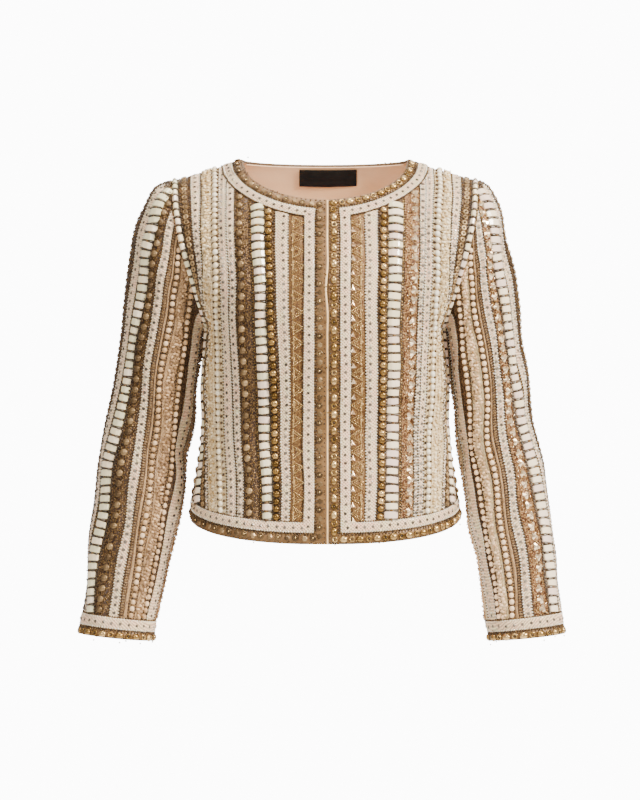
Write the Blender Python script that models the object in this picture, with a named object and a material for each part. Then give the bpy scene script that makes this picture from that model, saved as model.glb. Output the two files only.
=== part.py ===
# Collarless beaded jacket, filled out as if worn, with nobody in it.
# Metres, +Z up. The front faces -Y, and the wearer's right side is at -X.
# The origin is between the two neck points, where the shoulders carry the jacket.

import math
from collections import namedtuple

import bmesh
import bpy
from mathutils import Vector

for item in list(bpy.data.objects):
    bpy.data.objects.remove(item)

MM = 0.001
CLOTH = 2.0 * MM            # outer cloth, beadwork backing and lining together
LINING = 1.0 * MM
SEAM = 0.3 * MM             # gap between pieces that meet
TRIM_GAP = 0.5 * MM         # gap between a trim and the cloth under it
RIGHT = -1
LEFT = 1
FRONT = -1
BACK = 1

# Body sizes. Depths are measured from the side seams' plane.
SIDE_Y = 5.0 * MM
UNDERARM_Z = -215.0 * MM
CHEST_HALF = 153.0 * MM
CHEST_DEPTH = {FRONT: 125.0 * MM, BACK: 103.0 * MM}
SQUARENESS = 2.4            # exponent of the body's round section
NECK_POINT_X = 107.0 * MM
SHOULDER_TIP_X = 199.0 * MM
SHOULDER_TIP_Z = -27.0 * MM
ARMHOLE_DEPTH = 62.0 * MM   # half the armhole, front to back
SHOULDER_CORNER = math.radians(62)
UPPER_FALL = {FRONT: (1.8, 0.65), BACK: (2.2, 0.6)}

# Neckline and the trim that follows it, at the centre of the front and of the back
NECK_DROP = {FRONT: 55.0 * MM, BACK: 4.0 * MM}
TRIM_OUTER_X = 134.0 * MM
TRIM_DROP = {FRONT: 79.0 * MM, BACK: 31.0 * MM}
TRIM_ROUNDNESS = 1.8

# Hem, cuffs and the trim along them
HEM_Z = {FRONT: -494.0 * MM, BACK: -478.0 * MM}
SIDE_HEM_Z = -462.0 * MM
TRIM_WIDTH = 28.5 * MM
RELIEF_START = 5.0 * MM     # beadwork rises to its full height in this distance from a trim

BodyRow = namedtuple("BodyRow", "z half front back")
BODY_ROWS = [
    BodyRow(-500, 175.5, 127, 110),
    BodyRow(-460, 172.5, 125, 107),
    BodyRow(-425, 169.0, 122, 101),
    BodyRow(-385, 162.0, 118, 93),
    BodyRow(-340, 157.5, 116, 88),
    BodyRow(-300, 158.5, 119, 93),
    BodyRow(-255, 156.0, 124, 100),
    BodyRow(-215, 153.0, 125, 103),
    BodyRow(-175, 151.0, 124, 103),
]

# Lines down the beadwork, as distances from the middle at chest and hem level, on the
# wearer's right and left fronts, with how far the beads stand up there. Millimetres.
StripeLine = namedtuple("StripeLine", "name right_chest right_hem left_chest left_hem height")
STRIPE_LINES = [
    StripeLine("front edge", -1.2, -1.2, 4.8, 4.8, 0.0),
    StripeLine("edge trim", 28.0, 28.5, 33.0, 33.5, 0.0),
    StripeLine("triangles", 30.0, 31.0, 35.0, 36.0, 1.2),
    StripeLine("triangles", 46.0, 44.0, 50.5, 50.5, 1.2),
    StripeLine("ivory braid", 48.5, 46.0, 53.0, 53.0, 0.0),
    StripeLine("bead chain", 63.5, 56.0, 67.5, 65.5, 0.0),
    StripeLine("bead chain", 70.0, 61.0, 73.5, 70.0, 1.4),
    StripeLine("bead chain", 76.5, 66.0, 80.0, 75.0, 0.0),
    StripeLine("oblong stones", 78.5, 68.5, 82.0, 77.0, 1.6),
    StripeLine("oblong stones", 93.5, 81.5, 98.5, 93.5, 1.6),
    StripeLine("oblong stones", 95.5, 83.5, 101.0, 95.5, 0.0),
    StripeLine("bronze stones", 98.0, 85.5, 103.0, 97.5, 1.3),
    StripeLine("bronze stones", 112.5, 101.0, 118.0, 109.0, 1.3),
    StripeLine("bronze stones", 114.5, 103.0, 120.5, 111.0, 0.0),
    StripeLine("ivory braid", 124.0, 112.0, 127.0, 116.0, 0.0),
    StripeLine("neck trim end", 134.0, 121.5, 134.0, 121.0, 0.0),
    StripeLine("pearls", 137.5, 129.0, 141.0, 127.0, 0.0),
    StripeLine("pearls", 141.5, 133.5, 145.0, 131.0, 1.4),
    StripeLine("pearls", 145.5, 138.0, 149.5, 135.0, 0.0),
    StripeLine("tufts", 152.0, 144.0, 155.0, 143.0, 1.8),
    StripeLine("tufts", 158.0, 150.0, 160.5, 151.0, 0.0),
]
CHEST_LEVEL = -103.0
HEM_LEVEL = -428.0
NECK_LINE = 15              # the line that meets the neck trim at the shoulder seam
LAST_SHARES = {16: 0.90, 17: 0.915, 18: 0.93, 19: 0.945, 20: 0.96}
SIDE_COLUMNS = 3            # plain columns from the last line to the side seam or armhole

# Heights of the panel's rows: above the hem in millimetres, then up the armhole as shares
HEM_ROWS = [0.0, TRIM_WIDTH, TRIM_WIDTH + RELIEF_START]
BODY_CELLS = 5
ARMHOLE_SHARES = [0.0, 0.13, 0.27, 0.41, 0.55, 0.69, 0.83, 0.96, 1.0]
YOKE_CELLS = 2
EASE = 0.3                  # share of the armhole above which lines lean to the trim's points
NECK_LEVEL = -60.0 * MM     # where a line's distance is read for the neck trim's outer edge

# Sections across the sleeve from the armhole to the cuff: its outer and inner edge as seen
# from the front, half its depth, and its middle from front to back. Millimetres.
SleeveRow = namedtuple(
    "SleeveRow", "outer_z outer_right outer_left inner_z inner_right inner_left depth middle"
)
SLEEVE_ROWS = [
    SleeveRow(-27, 199.0, 199.0, -215, 153.0, 153.0, 62.0, 5),
    SleeveRow(-35, 219.0, 213.0, -222, 158.0, 158.0, 63.0, 5),
    SleeveRow(-57, 231.0, 225.0, -229, 160.5, 160.0, 63.0, 5),
    SleeveRow(-88, 244.5, 232.0, -240, 162.0, 161.0, 62.0, 5),
    SleeveRow(-130, 251.5, 241.5, -256, 163.5, 162.5, 60.0, 6),
    SleeveRow(-182, 259.5, 249.0, -275, 166.0, 164.0, 58.0, 7),
    SleeveRow(-236, 266.0, 255.5, -302, 169.5, 167.0, 56.0, 8),
    SleeveRow(-290, 272.5, 263.5, -330, 172.0, 170.0, 55.0, 8),
    SleeveRow(-332, 282.0, 267.0, -358, 175.0, 172.0, 54.0, 8),
    SleeveRow(-362, 288.0, 275.0, -383, 180.0, 172.5, 53.0, 6),
    SleeveRow(-400, 294.0, 283.0, -417, 183.5, 181.0, 52.0, 2),
    SleeveRow(-450, 297.0, 289.5, -466, 192.0, 187.5, 50.0, -5),
    SleeveRow(-500, 304.0, 296.5, -516, 203.0, 198.5, 47.5, -12),
    SleeveRow(-548, 308.5, 300.5, -562, 212.5, 205.5, 45.5, -19),
    SleeveRow(-584, 312.5, 303.5, -595, 220.0, 210.5, 44.0, -24),
    SleeveRow(-612, 315.5, 307.0, -621, 225.0, 215.0, 43.5, -28),
]
CUFF_RISE = 28.5
CAP_ROWS = 4                # rows over which the sleeve loses the armhole's bow

# Lines along the sleeve, in degrees round it from its inner edge through the front
SleeveLine = namedtuple("SleeveLine", "name angle height")
UNDER_ANGLES = [-43.0, -22.0, 0.0, 22.0, 43.0]
SLEEVE_LINES = [
    SleeveLine("front seam", 43.0, 0.0),
    SleeveLine("tufts", 50.0, 0.0),
    SleeveLine("tufts", 58.0, 1.8),
    SleeveLine("pearls", 66.0, 0.0),
    SleeveLine("pearls", 72.0, 1.4),
    SleeveLine("pearls", 78.0, 0.0),
    SleeveLine("ivory braid", 90.0, 0.0),
    SleeveLine("bronze stones", 103.0, 0.0),
    SleeveLine("bronze stones", 106.0, 1.3),
    SleeveLine("bronze stones", 127.0, 1.3),
    SleeveLine("oblong stones", 130.5, 0.0),
    SleeveLine("oblong stones", 134.0, 1.6),
    SleeveLine("oblong stones", 155.0, 1.6),
    SleeveLine("oblong stones", 159.0, 0.0),
    SleeveLine("ivory braid", 172.0, 0.0),
    SleeveLine("triangles", 184.0, 0.0),
    SleeveLine("triangles", 188.0, 1.2),
    SleeveLine("triangles", 206.0, 1.2),
    SleeveLine("triangles", 210.0, 0.0),
    SleeveLine("bead chain", 232.0, 0.0),
    SleeveLine("bead chain", 239.0, 1.4),
    SleeveLine("bead chain", 246.0, 0.0),
    SleeveLine("pearls", 262.0, 0.0),
    SleeveLine("pearls", 269.0, 1.4),
    SleeveLine("pearls", 276.0, 0.0),
    SleeveLine("tufts", 288.0, 1.8),
    SleeveLine("tufts", 300.0, 0.0),
    SleeveLine("back seam", 317.0, 0.0),
]

# Largest folds. On the body: distance from the middle and height. On a sleeve: height and
# degrees round it. Lengths run down the jacket, and all but the angles are millimetres.
BodyFold = namedtuple("BodyFold", "side face x z width length depth")
BODY_FOLDS = [
    BodyFold(RIGHT, FRONT, 139, -300, 13, 70, 5.0),
    BodyFold(LEFT, FRONT, 137, -290, 13, 65, 6.0),
    BodyFold(RIGHT, BACK, 120, -330, 16, 60, 4.0),
    BodyFold(LEFT, BACK, 120, -330, 16, 60, 4.0),
]
SleeveFold = namedtuple("SleeveFold", "side z angle length spread depth")
SLEEVE_FOLDS = [
    SleeveFold(RIGHT, -372, 35, 22, 40, 5.0),
    SleeveFold(RIGHT, -300, 320, 26, 45, 3.5),
    SleeveFold(LEFT, -378, 30, 20, 45, 6.0),
    SleeveFold(LEFT, -300, 320, 26, 45, 3.5),
]

# Height of a trim above the cloth under it, from its inner to its outer edge
TRIM_PROFILE = [(0.0, 1.6), (0.5, 1.9), (0.6, 2.8), (1.0, 2.4)]
PIPING_RADIUS = 1.3 * MM
PIPING_X = 3.0 * MM
LABEL_SPAN = (-34.0 * MM, 42.0 * MM)
LABEL_SHARES = (0.10, 0.90) # down the back neck trim's width
LABEL_THICK = 0.8 * MM
LABEL_STEPS = 8
LINING_ROWS = 4             # rows of the back panel below its neck trim that show lined

COLOURS = {
    "ivory beadwork": (0.74, 0.68, 0.60, 1.0),
    "bronze beadwork": (0.36, 0.24, 0.12, 1.0),
    "champagne satin": (0.72, 0.55, 0.42, 1.0),
    "black label": (0.015, 0.013, 0.013, 1.0),
}


def blend(start, end, share):
    return start + (end - start) * share


def read_row(rows, key):
    # Smooth reading of a table between its rows, with the first column as the key
    last = len(rows) - 2
    place = 0
    while place < last and (rows[place + 1][0] - key) * (rows[0][0] - rows[-1][0]) > 0:
        place += 1
    before = rows[max(place - 1, 0)]
    low, high = rows[place], rows[place + 1]
    after = rows[min(place + 2, len(rows) - 1)]
    t = (key - low[0]) / (high[0] - low[0])
    values = []
    for column in range(1, len(low)):
        enter = (high[column] - before[column]) / (high[0] - before[0]) * (high[0] - low[0])
        leave = (after[column] - low[column]) / (after[0] - low[0]) * (high[0] - low[0])
        values.append(
            (2 * t**3 - 3 * t**2 + 1) * low[column] + (t**3 - 2 * t**2 + t) * enter
            + (3 * t**2 - 2 * t**3) * high[column] + (t**3 - t**2) * leave
        )
    return values


def shoulder_z(x):
    # The shoulder line: straight from the neck point outwards, and carried on as an arch
    # over the neck hole
    slope = SHOULDER_TIP_Z / (SHOULDER_TIP_X - NECK_POINT_X)
    if abs(x) > NECK_POINT_X:
        return slope * (abs(x) - NECK_POINT_X)
    return slope * (x**2 - NECK_POINT_X**2) / (2 * NECK_POINT_X)


def armhole_x(rise):
    return blend(CHEST_HALF, SHOULDER_TIP_X, math.sin(rise * math.pi / 2) ** 1.1)


def share_to_rise(share):
    return (1 - math.cos(math.pi * share)) / 2


def level_sizes(face, z, share):
    # Half width, depth, depth left at the armhole, and the section's last angle
    if share <= 0:
        half, front, back = read_row(BODY_ROWS, z / MM)
        return half * MM, (front if face == FRONT else back) * MM, 0.0, math.pi / 2
    rise = share_to_rise(share)
    power, root = UPPER_FALL[face]
    depth = CHEST_DEPTH[face] * max(1 - rise**power, 0.0) ** root
    armhole = ARMHOLE_DEPTH * math.sin(math.pi * share)
    return armhole_x(rise), depth, armhole, blend(math.pi / 2, SHOULDER_CORNER, rise)


def angle_at(x, half, corner):
    reach = min(abs(x) / half, 1.0) ** (SQUARENESS / 2) * math.sin(corner)
    return math.copysign(math.asin(min(reach, 1.0)), x)


def fold_depth(side, face, x, z):
    depth = 0.0
    for fold in BODY_FOLDS:
        if fold.side == side and fold.face == face:
            across = (x / MM - fold.x) / fold.width
            down = (z / MM - fold.z) / fold.length
            depth += fold.depth * MM * math.exp(-across**2 - down**2)
    return depth


def body_point(side, face, angle, z, share):
    # A point of the body's outer face. x grows outwards from the middle on either side.
    half, depth, armhole, corner = level_sizes(face, z, share)
    power = 2 / SQUARENESS
    across = math.copysign((abs(math.sin(angle)) / math.sin(corner)) ** power, angle)
    end = max(math.cos(corner), 0.0) ** power
    fall = (max(math.cos(angle), 0.0) ** power - end) / (1 - end)
    x = half * across
    # The armhole opens abruptly at the underarm, but the cloth away from it eases out
    eased = ARMHOLE_DEPTH * (armhole / ARMHOLE_DEPTH) ** 3
    open_share = 1 - fall
    y = SEAM / 2 + depth * fall + eased * open_share + (armhole - eased) * open_share**2
    if share > 0:
        z = UNDERARM_Z + (shoulder_z(x) - UNDERARM_Z) * share_to_rise(share)
    y -= fold_depth(side, face, x, z) * fall
    return Vector((side * x, SIDE_Y + face * y, z))


def point_at(side, face, x, z):
    # The same face found from its place in the front view, above the underarm
    rise = (z - UNDERARM_Z) / (shoulder_z(x) - UNDERARM_Z)
    share = math.acos(1 - 2 * min(max(rise, 0.0), 1.0)) / math.pi
    half, _, _, corner = level_sizes(face, z, share)
    return body_point(side, face, angle_at(x, half, corner), z, share)


def line_x(side, face, line, z):
    row = STRIPE_LINES[line]
    if face == BACK and line == 0:
        return 0.0
    use_left = side == LEFT or face == BACK
    chest = row.left_chest if use_left else row.right_chest
    hem = row.left_hem if use_left else row.right_hem
    return blend(chest, hem, (z / MM - CHEST_LEVEL) / (HEM_LEVEL - CHEST_LEVEL)) * MM


def column_angle(side, face, column, z, share):
    half, _, _, corner = level_sizes(face, z, share)
    last = len(STRIPE_LINES) - 1
    line = min(column, last)
    x = line_x(side, face, line, z)
    if line in LAST_SHARES:
        x = min(x, LAST_SHARES[line] * half)
    angle = angle_at(x, half, corner)
    return blend(angle, corner, max(column - last, 0) / SIDE_COLUMNS)


def hem_z(face, angle):
    return blend(HEM_Z[face], SIDE_HEM_Z, 1 - math.cos(angle))


def trim_outer_z(face, x):
    # Outer edge of the neck trim in the front view
    end = shoulder_z(TRIM_OUTER_X)
    bow = (1 - min(abs(x) / TRIM_OUTER_X, 1.0) ** TRIM_ROUNDNESS) ** (1 / TRIM_ROUNDNESS)
    return end - (TRIM_DROP[face] + end) * bow


def neck_point(face, x):
    return -NECK_DROP[face] * math.sqrt(max(1 - (x / NECK_POINT_X) ** 2, 0.0))


def panel_rows():
    return len(HEM_ROWS) + BODY_CELLS + len(ARMHOLE_SHARES) - 1


def panel_point(side, face, column, row):
    if row < len(HEM_ROWS) + BODY_CELLS:
        # Below the underarm: height above the hem, then even steps
        hem = hem_z(face, column_angle(side, face, column, HEM_Z[face] + TRIM_WIDTH, 0))
        if row < len(HEM_ROWS):
            z = hem + HEM_ROWS[row]
        else:
            step = (row - len(HEM_ROWS) + 1) / BODY_CELLS
            z = blend(hem + HEM_ROWS[-1], UNDERARM_Z, step)
        angle = column_angle(side, face, column, z, 0)
        return body_point(side, face, angle, z, 0)
    # Above it: shares of the way up to the shoulder seam or the neck trim
    share = ARMHOLE_SHARES[row - len(HEM_ROWS) - BODY_CELLS + 1]
    if column <= NECK_LINE:
        top_x = TRIM_OUTER_X if column == NECK_LINE else line_x(side, face, column, NECK_LEVEL)
        top_z = trim_outer_z(face, top_x)
        rise = (top_z - UNDERARM_Z) / (shoulder_z(top_x) - UNDERARM_Z)
        share *= math.acos(1 - 2 * min(rise, 1.0)) / math.pi
        z = UNDERARM_Z + (shoulder_z(top_x) - UNDERARM_Z) * share_to_rise(share)
        x = blend(line_x(side, face, column, z), top_x, max(share - EASE, 0.0) / (1 - EASE))
        if row == panel_rows() - 1:
            x = top_x
        half, _, _, corner = level_sizes(face, z, share)
        return body_point(side, face, angle_at(x, half, corner), z, share)
    z = UNDERARM_Z * (1 - share_to_rise(share))
    return body_point(side, face, column_angle(side, face, column, z, share), z, share)


def yoke_point(side, face, column, share):
    # Across the neck trim: from its outer edge, share 0, to the neckline, share 1
    start = line_x(side, face, 0, 0)
    outer_x = TRIM_OUTER_X if column == NECK_LINE else line_x(side, face, column, NECK_LEVEL)
    neck_share = (outer_x - start) / (TRIM_OUTER_X - start)
    neck_x = blend(start, NECK_POINT_X, neck_share)
    x = blend(outer_x, neck_x, share)
    z = blend(trim_outer_z(face, outer_x), neck_point(face, neck_x), share)
    return point_at(side, face, x, z)


def find_normals(points, flip, closed=False):
    # Unit normals of a net of points, from the points on either side of each
    rows, columns = len(points), len(points[0])
    normals = []
    for row in range(rows):
        line = []
        for column in range(columns):
            if closed:
                left = points[row][(column - 1) % columns]
                right = points[row][(column + 1) % columns]
            else:
                left = points[row][max(column - 1, 0)]
                right = points[row][min(column + 1, columns - 1)]
            below = points[max(row - 1, 0)][column]
            above = points[min(row + 1, rows - 1)][column]
            line.append((right - left).cross(above - below).normalized() * flip)
        normals.append(line)
    return normals


def square_to_seam(normal, axis):
    # Keeps the walls' ends square to a seam, so that two walls can't cross there
    normal[axis] = 0.0
    normal.normalize()


def make_wall(outer, inner, keep=None, closed=False):
    # A closed solid between two nets of points. A grid is laid on the outer net, cells that
    # keep() refuses are dropped, and the grid's copy is moved onto the inner net.
    rows, columns = len(outer), len(outer[0])
    mesh = bmesh.new()
    bmesh.ops.create_grid(mesh, x_segments=columns - 1, y_segments=rows - 1, size=1)
    mesh.verts.ensure_lookup_table()
    mesh.faces.ensure_lookup_table()
    place = mesh.verts.layers.int.new("place")
    for number, vert in enumerate(mesh.verts):
        vert[place] = number
        vert.co = outer[number // columns][number % columns]
    if keep:
        extra = [
            face for number, face in enumerate(mesh.faces)
            if not keep(number // (columns - 1), number % (columns - 1))
        ]
        bmesh.ops.delete(mesh, geom=extra, context="FACES")
    if closed:
        bmesh.ops.remove_doubles(mesh, verts=mesh.verts, dist=0.001 * MM)
    bmesh.ops.triangulate(mesh, faces=mesh.faces, quad_method="FIXED")
    made = bmesh.ops.extrude_face_region(mesh, geom=mesh.faces[:], use_keep_orig=True)
    for piece in made["geom"]:
        if isinstance(piece, bmesh.types.BMVert):
            number = piece[place]
            piece.co = inner[number // columns][number % columns]
    # Ends that face each other across a seam are split along the same diagonals
    bmesh.ops.triangulate(mesh, faces=mesh.faces, quad_method="SHORT_EDGE")
    bmesh.ops.recalc_face_normals(mesh, faces=mesh.faces)
    return mesh


def add_node(name, mesh, colour, roughness=0.5, metallic=0.0):
    data = bpy.data.meshes.new(name)
    mesh.to_mesh(data)
    mesh.free()
    data.shade_smooth()
    data.set_sharp_from_angle(angle=math.radians(40))
    node = bpy.data.objects.new(name, data)
    jacket.objects.link(node)
    node.data.materials.append(make_material(colour, roughness, metallic))
    return node


def make_material(colour, roughness, metallic):
    material = bpy.data.materials.get(colour) or bpy.data.materials.new(colour)
    material.use_nodes = True
    shader = material.node_tree.nodes["Principled BSDF"]
    shader.inputs["Base Color"].default_value = COLOURS[colour]
    shader.inputs["Roughness"].default_value = roughness
    shader.inputs["Metallic"].default_value = metallic
    return material


def shift(points, normals, distance):
    return [
        [point + normal * distance for point, normal in zip(line, directions)]
        for line, directions in zip(points, normals)
    ]


class Panel:
    # The base net of one body panel, its normals and the height of its beadwork
    def __init__(self, sides, face):
        last = len(STRIPE_LINES) - 1 + SIDE_COLUMNS
        self.columns = []
        for side in sides:
            numbers = list(range(last + 1))
            if side == RIGHT:
                numbers.reverse()
            if side == LEFT and len(sides) == 2:
                numbers = numbers[1:]
            self.columns += [(side, number) for number in numbers]
        self.face = face
        self.rows = panel_rows()
        self.points = []
        for row in range(self.rows):
            self.points.append(
                [panel_point(side, face, number, row) for side, number in self.columns]
            )
        for step in range(1, YOKE_CELLS + 1):
            self.points.append([
                yoke_point(side, face, min(number, NECK_LINE), step / YOKE_CELLS)
                for side, number in self.columns
            ])
        self.normals = self.fix_normals(last)

    def fix_normals(self, last):
        normals = find_normals(self.points[: self.rows], -self.face)
        yoke = find_normals(self.points[self.rows - 1:], -self.face)
        for row in range(self.rows):
            for column, (side, number) in enumerate(self.columns):
                at_side = number == last and row < len(HEM_ROWS) + BODY_CELLS
                if at_side or (number >= NECK_LINE and row == self.rows - 1):
                    square_to_seam(normals[row][column], 1)
        normals += yoke[1:]
        for row in range(self.rows, len(self.points)):
            for column, (side, number) in enumerate(self.columns):
                if number >= NECK_LINE:
                    normals[row][column] = normals[self.rows - 1][column].copy()
        return normals

    def keeps(self, row, column):
        if row < self.rows - 1:
            return True
        numbers = (self.columns[column][1], self.columns[column + 1][1])
        return max(numbers) <= NECK_LINE

    def bead_height(self, row, number):
        if row < 2 or number >= len(STRIPE_LINES):
            return 0.0
        if row >= self.rows - 1 and number <= NECK_LINE:
            return 0.0
        return STRIPE_LINES[number].height * MM

    def wall(self):
        outer = [
            [
                point + normal * self.bead_height(row, self.columns[column][1])
                for column, (point, normal) in enumerate(zip(line, self.normals[row]))
            ]
            for row, line in enumerate(self.points)
        ]
        return make_wall(outer, shift(self.points, self.normals, -CLOTH), self.keeps)

    def strip(self, rows, columns):
        # The points and normals of part of the net
        points = [[self.points[row][column] for column in columns] for row in rows]
        normals = [[self.normals[row][column] for column in columns] for row in rows]
        return points, normals


def trim_wall(points, normals, closed=False):
    # A raised trim on a strip of a net. The profile runs across the strip's rows, from its
    # first to its last, with points between them taken on the straight line.
    inner, outer = [], []
    for share, height in TRIM_PROFILE:
        place = share * (len(points) - 1)
        low = min(int(place), len(points) - 2)
        part = place - low
        line = []
        for column in range(len(points[0])):
            point = points[low][column].lerp(points[low + 1][column], part)
            normal = normals[low][column].lerp(normals[low + 1][column], part).normalized()
            line.append((point, normal))
        inner.append([point + normal * TRIM_GAP for point, normal in line])
        outer.append([point + normal * (TRIM_GAP + height * MM) for point, normal in line])
    return make_wall(outer, inner, closed=closed)


def turn(net):
    # Rows become columns
    return [list(line) for line in zip(*net)]


def draw_back(points, end, gap):
    # Moves one end column of a strip along the strip, to leave a gap to its neighbour
    for line in points:
        near, far = (0, 1) if end == 0 else (-1, -2)
        step = (line[far] - line[near]).normalized() * gap
        line[near] = line[near] + step


jacket = bpy.data.collections.new("embellished_jacket")
bpy.context.scene.collection.children.link(jacket)


def build_fronts():
    for name, side in (("right", RIGHT), ("left", LEFT)):
        panel = Panel([side], FRONT)
        add_node("front_" + name, panel.wall(), "ivory beadwork", 0.45)
        numbers = [number for _, number in panel.columns]
        edge, inner = numbers.index(0), numbers.index(1)
        all_rows = range(len(panel.points))
        # Front edge trim, from hem to neckline, its bead border along the opening
        points, normals = panel.strip(all_rows, [inner, edge])
        add_node("front_trim_" + name, trim_wall(turn(points), turn(normals)), "bronze beadwork")
        # Hem trim, from the front trim to the side seam, its border along the hem
        columns = [numbers.index(number) for number in range(1, len(numbers))]
        points, normals = panel.strip([1, 0], columns)
        draw_back(points, 0, SEAM)
        add_node("hem_trim_" + name, trim_wall(points, normals), "bronze beadwork")
        # Neck trim, from the front trim to the shoulder seam
        columns = [numbers.index(number) for number in range(1, NECK_LINE + 1)]
        points, normals = panel.strip(range(panel.rows - 1, len(panel.points)), columns)
        draw_back(points, 0, SEAM)
        add_node("neck_trim_" + name, trim_wall(points, normals), "bronze beadwork")


def build_back():
    panel = Panel([RIGHT, LEFT], BACK)
    add_node("back", panel.wall(), "ivory beadwork", 0.45)
    points, normals = panel.strip([1, 0], range(len(panel.columns)))
    add_node("hem_trim_back", trim_wall(points, normals), "bronze beadwork")
    yoke = [place for place, (_, number) in enumerate(panel.columns) if number <= NECK_LINE]
    yoke_rows = list(range(panel.rows - 1, len(panel.points)))
    points, normals = panel.strip(yoke_rows, yoke)
    add_node("neck_trim_back", trim_wall(points, normals), "bronze beadwork")
    # The lining that shows inside the back neck
    rows = list(range(panel.rows - LINING_ROWS, len(panel.points)))
    points, normals = panel.strip(rows, yoke[1:-1])
    face = shift(points, normals, -CLOTH - SEAM)
    add_node(
        "back_neck_lining",
        make_wall(face, shift(points, normals, -CLOTH - SEAM - LINING)),
        "champagne satin", 0.35,
    )
    build_label(panel, yoke, yoke_rows)


def build_label(panel, yoke, yoke_rows):
    # Plain woven label on the lining, its corners found between the net's own points
    depth = CLOTH + SEAM + LINING + 3 * SEAM
    lines = []
    for share in (LABEL_SHARES[1], (LABEL_SHARES[0] + LABEL_SHARES[1]) / 2, LABEL_SHARES[0]):
        place = (1 - share) * (len(yoke_rows) - 1)
        low = min(int(place), len(yoke_rows) - 2)
        part = place - low
        line = []
        for column in yoke:
            below, above = yoke_rows[low], yoke_rows[low + 1]
            point = panel.points[below][column].lerp(panel.points[above][column], part)
            normal = panel.normals[below][column].lerp(panel.normals[above][column], part)
            line.append((point, normal.normalized()))
        lines.append(cut_line(line))
    outer = [[point - normal * depth for point, normal in line] for line in lines]
    inner = [
        [point - normal * (depth + LABEL_THICK) for point, normal in line] for line in lines
    ]
    add_node("neck_label", make_wall(outer, inner), "black label", 0.7)


def cut_line(line):
    # Even steps along a line of points between the label's two ends
    cut = []
    for step in range(LABEL_STEPS + 1):
        x = blend(LABEL_SPAN[0], LABEL_SPAN[1], step / LABEL_STEPS)
        for (start, first), (end, second) in zip(line, line[1:]):
            if start.x <= x <= end.x:
                part = (x - start.x) / (end.x - start.x)
                cut.append((start.lerp(end, part), first.lerp(second, part).normalized()))
                break
    return cut


def build_piping():
    # Covered cord along the closed front edges
    curve = bpy.data.curves.new("front_piping", "CURVE")
    curve.dimensions = "3D"
    curve.bevel_depth = PIPING_RADIUS
    curve.bevel_resolution = 1
    curve.resolution_u = 1
    curve.use_fill_caps = True
    places = [panel_point(LEFT, FRONT, 0, row) for row in range(panel_rows())]
    places += [yoke_point(LEFT, FRONT, 0, step / YOKE_CELLS) for step in (1, YOKE_CELLS)]
    spline = curve.splines.new("POLY")
    spline.points.add(len(places) - 1)
    for spot, place in zip(spline.points, places):
        spot.co = (PIPING_X, place.y - 0.3 * PIPING_RADIUS, place.z, 1)
    cord = bpy.data.objects.new("front_piping", curve)
    cord.data.materials.append(make_material("champagne satin", 0.35, 0.0))
    jacket.objects.link(cord)


def armhole_place(angle):
    # The seam as the body's panels have it, straight between their rows
    share = abs(angle) / 180 if angle <= 180 else (360 - angle) / 180
    face = FRONT if 0 <= angle <= 180 else BACK
    number = 0
    while number < len(ARMHOLE_SHARES) - 2 and ARMHOLE_SHARES[number + 1] < share:
        number += 1
    ends = []
    for part in ARMHOLE_SHARES[number], ARMHOLE_SHARES[number + 1]:
        rise = share_to_rise(part)
        z = UNDERARM_Z + (SHOULDER_TIP_Z - UNDERARM_Z) * rise
        y = ARMHOLE_DEPTH * math.sin(math.pi * part)
        ends.append(Vector((armhole_x(rise), SIDE_Y + face * y, z)))
    low, high = ARMHOLE_SHARES[number], ARMHOLE_SHARES[number + 1]
    return ends[0].lerp(ends[1], (share - low) / (high - low))


def sleeve_fold(side, z, angle):
    depth = 0.0
    for fold in SLEEVE_FOLDS:
        if fold.side == side:
            turn_away = (angle - fold.angle + 180) % 360 - 180
            along = (z / MM - fold.z) / fold.length
            depth += fold.depth * math.exp(-(turn_away / fold.spread) ** 2 - along**2)
    return depth * MM


def sleeve_point(side, row, angle):
    if row == 0:
        place = armhole_place(angle % 360)
        return Vector((side * (place.x + SEAM * 1.2), place.y, place.z))
    sizes = SLEEVE_ROWS[row]
    outer_x = sizes.outer_right if side == RIGHT else sizes.outer_left
    inner_x = sizes.inner_right if side == RIGHT else sizes.inner_left
    turned = math.radians(angle)
    x = (outer_x + inner_x) / 2 - (outer_x - inner_x) / 2 * math.cos(turned)
    z = (sizes.outer_z + sizes.inner_z) / 2 - (sizes.outer_z - sizes.inner_z) / 2 * math.cos(turned)
    # The armhole bows outwards between its ends, and the first sections follow it
    rise = (1 - math.cos(turned)) / 2
    bow = (armhole_x(rise) - blend(CHEST_HALF, SHOULDER_TIP_X, rise)) / MM
    x += bow * max(1 - row / CAP_ROWS, 0.0)
    y = sizes.middle - sizes.depth * math.sin(turned)
    middle = Vector((side * (outer_x + inner_x) / 2, sizes.middle, z)) * MM
    point = Vector((side * x, y, z)) * MM
    inward = (middle - point).normalized()
    return point + inward * sleeve_fold(side, point.z, angle)


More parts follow.
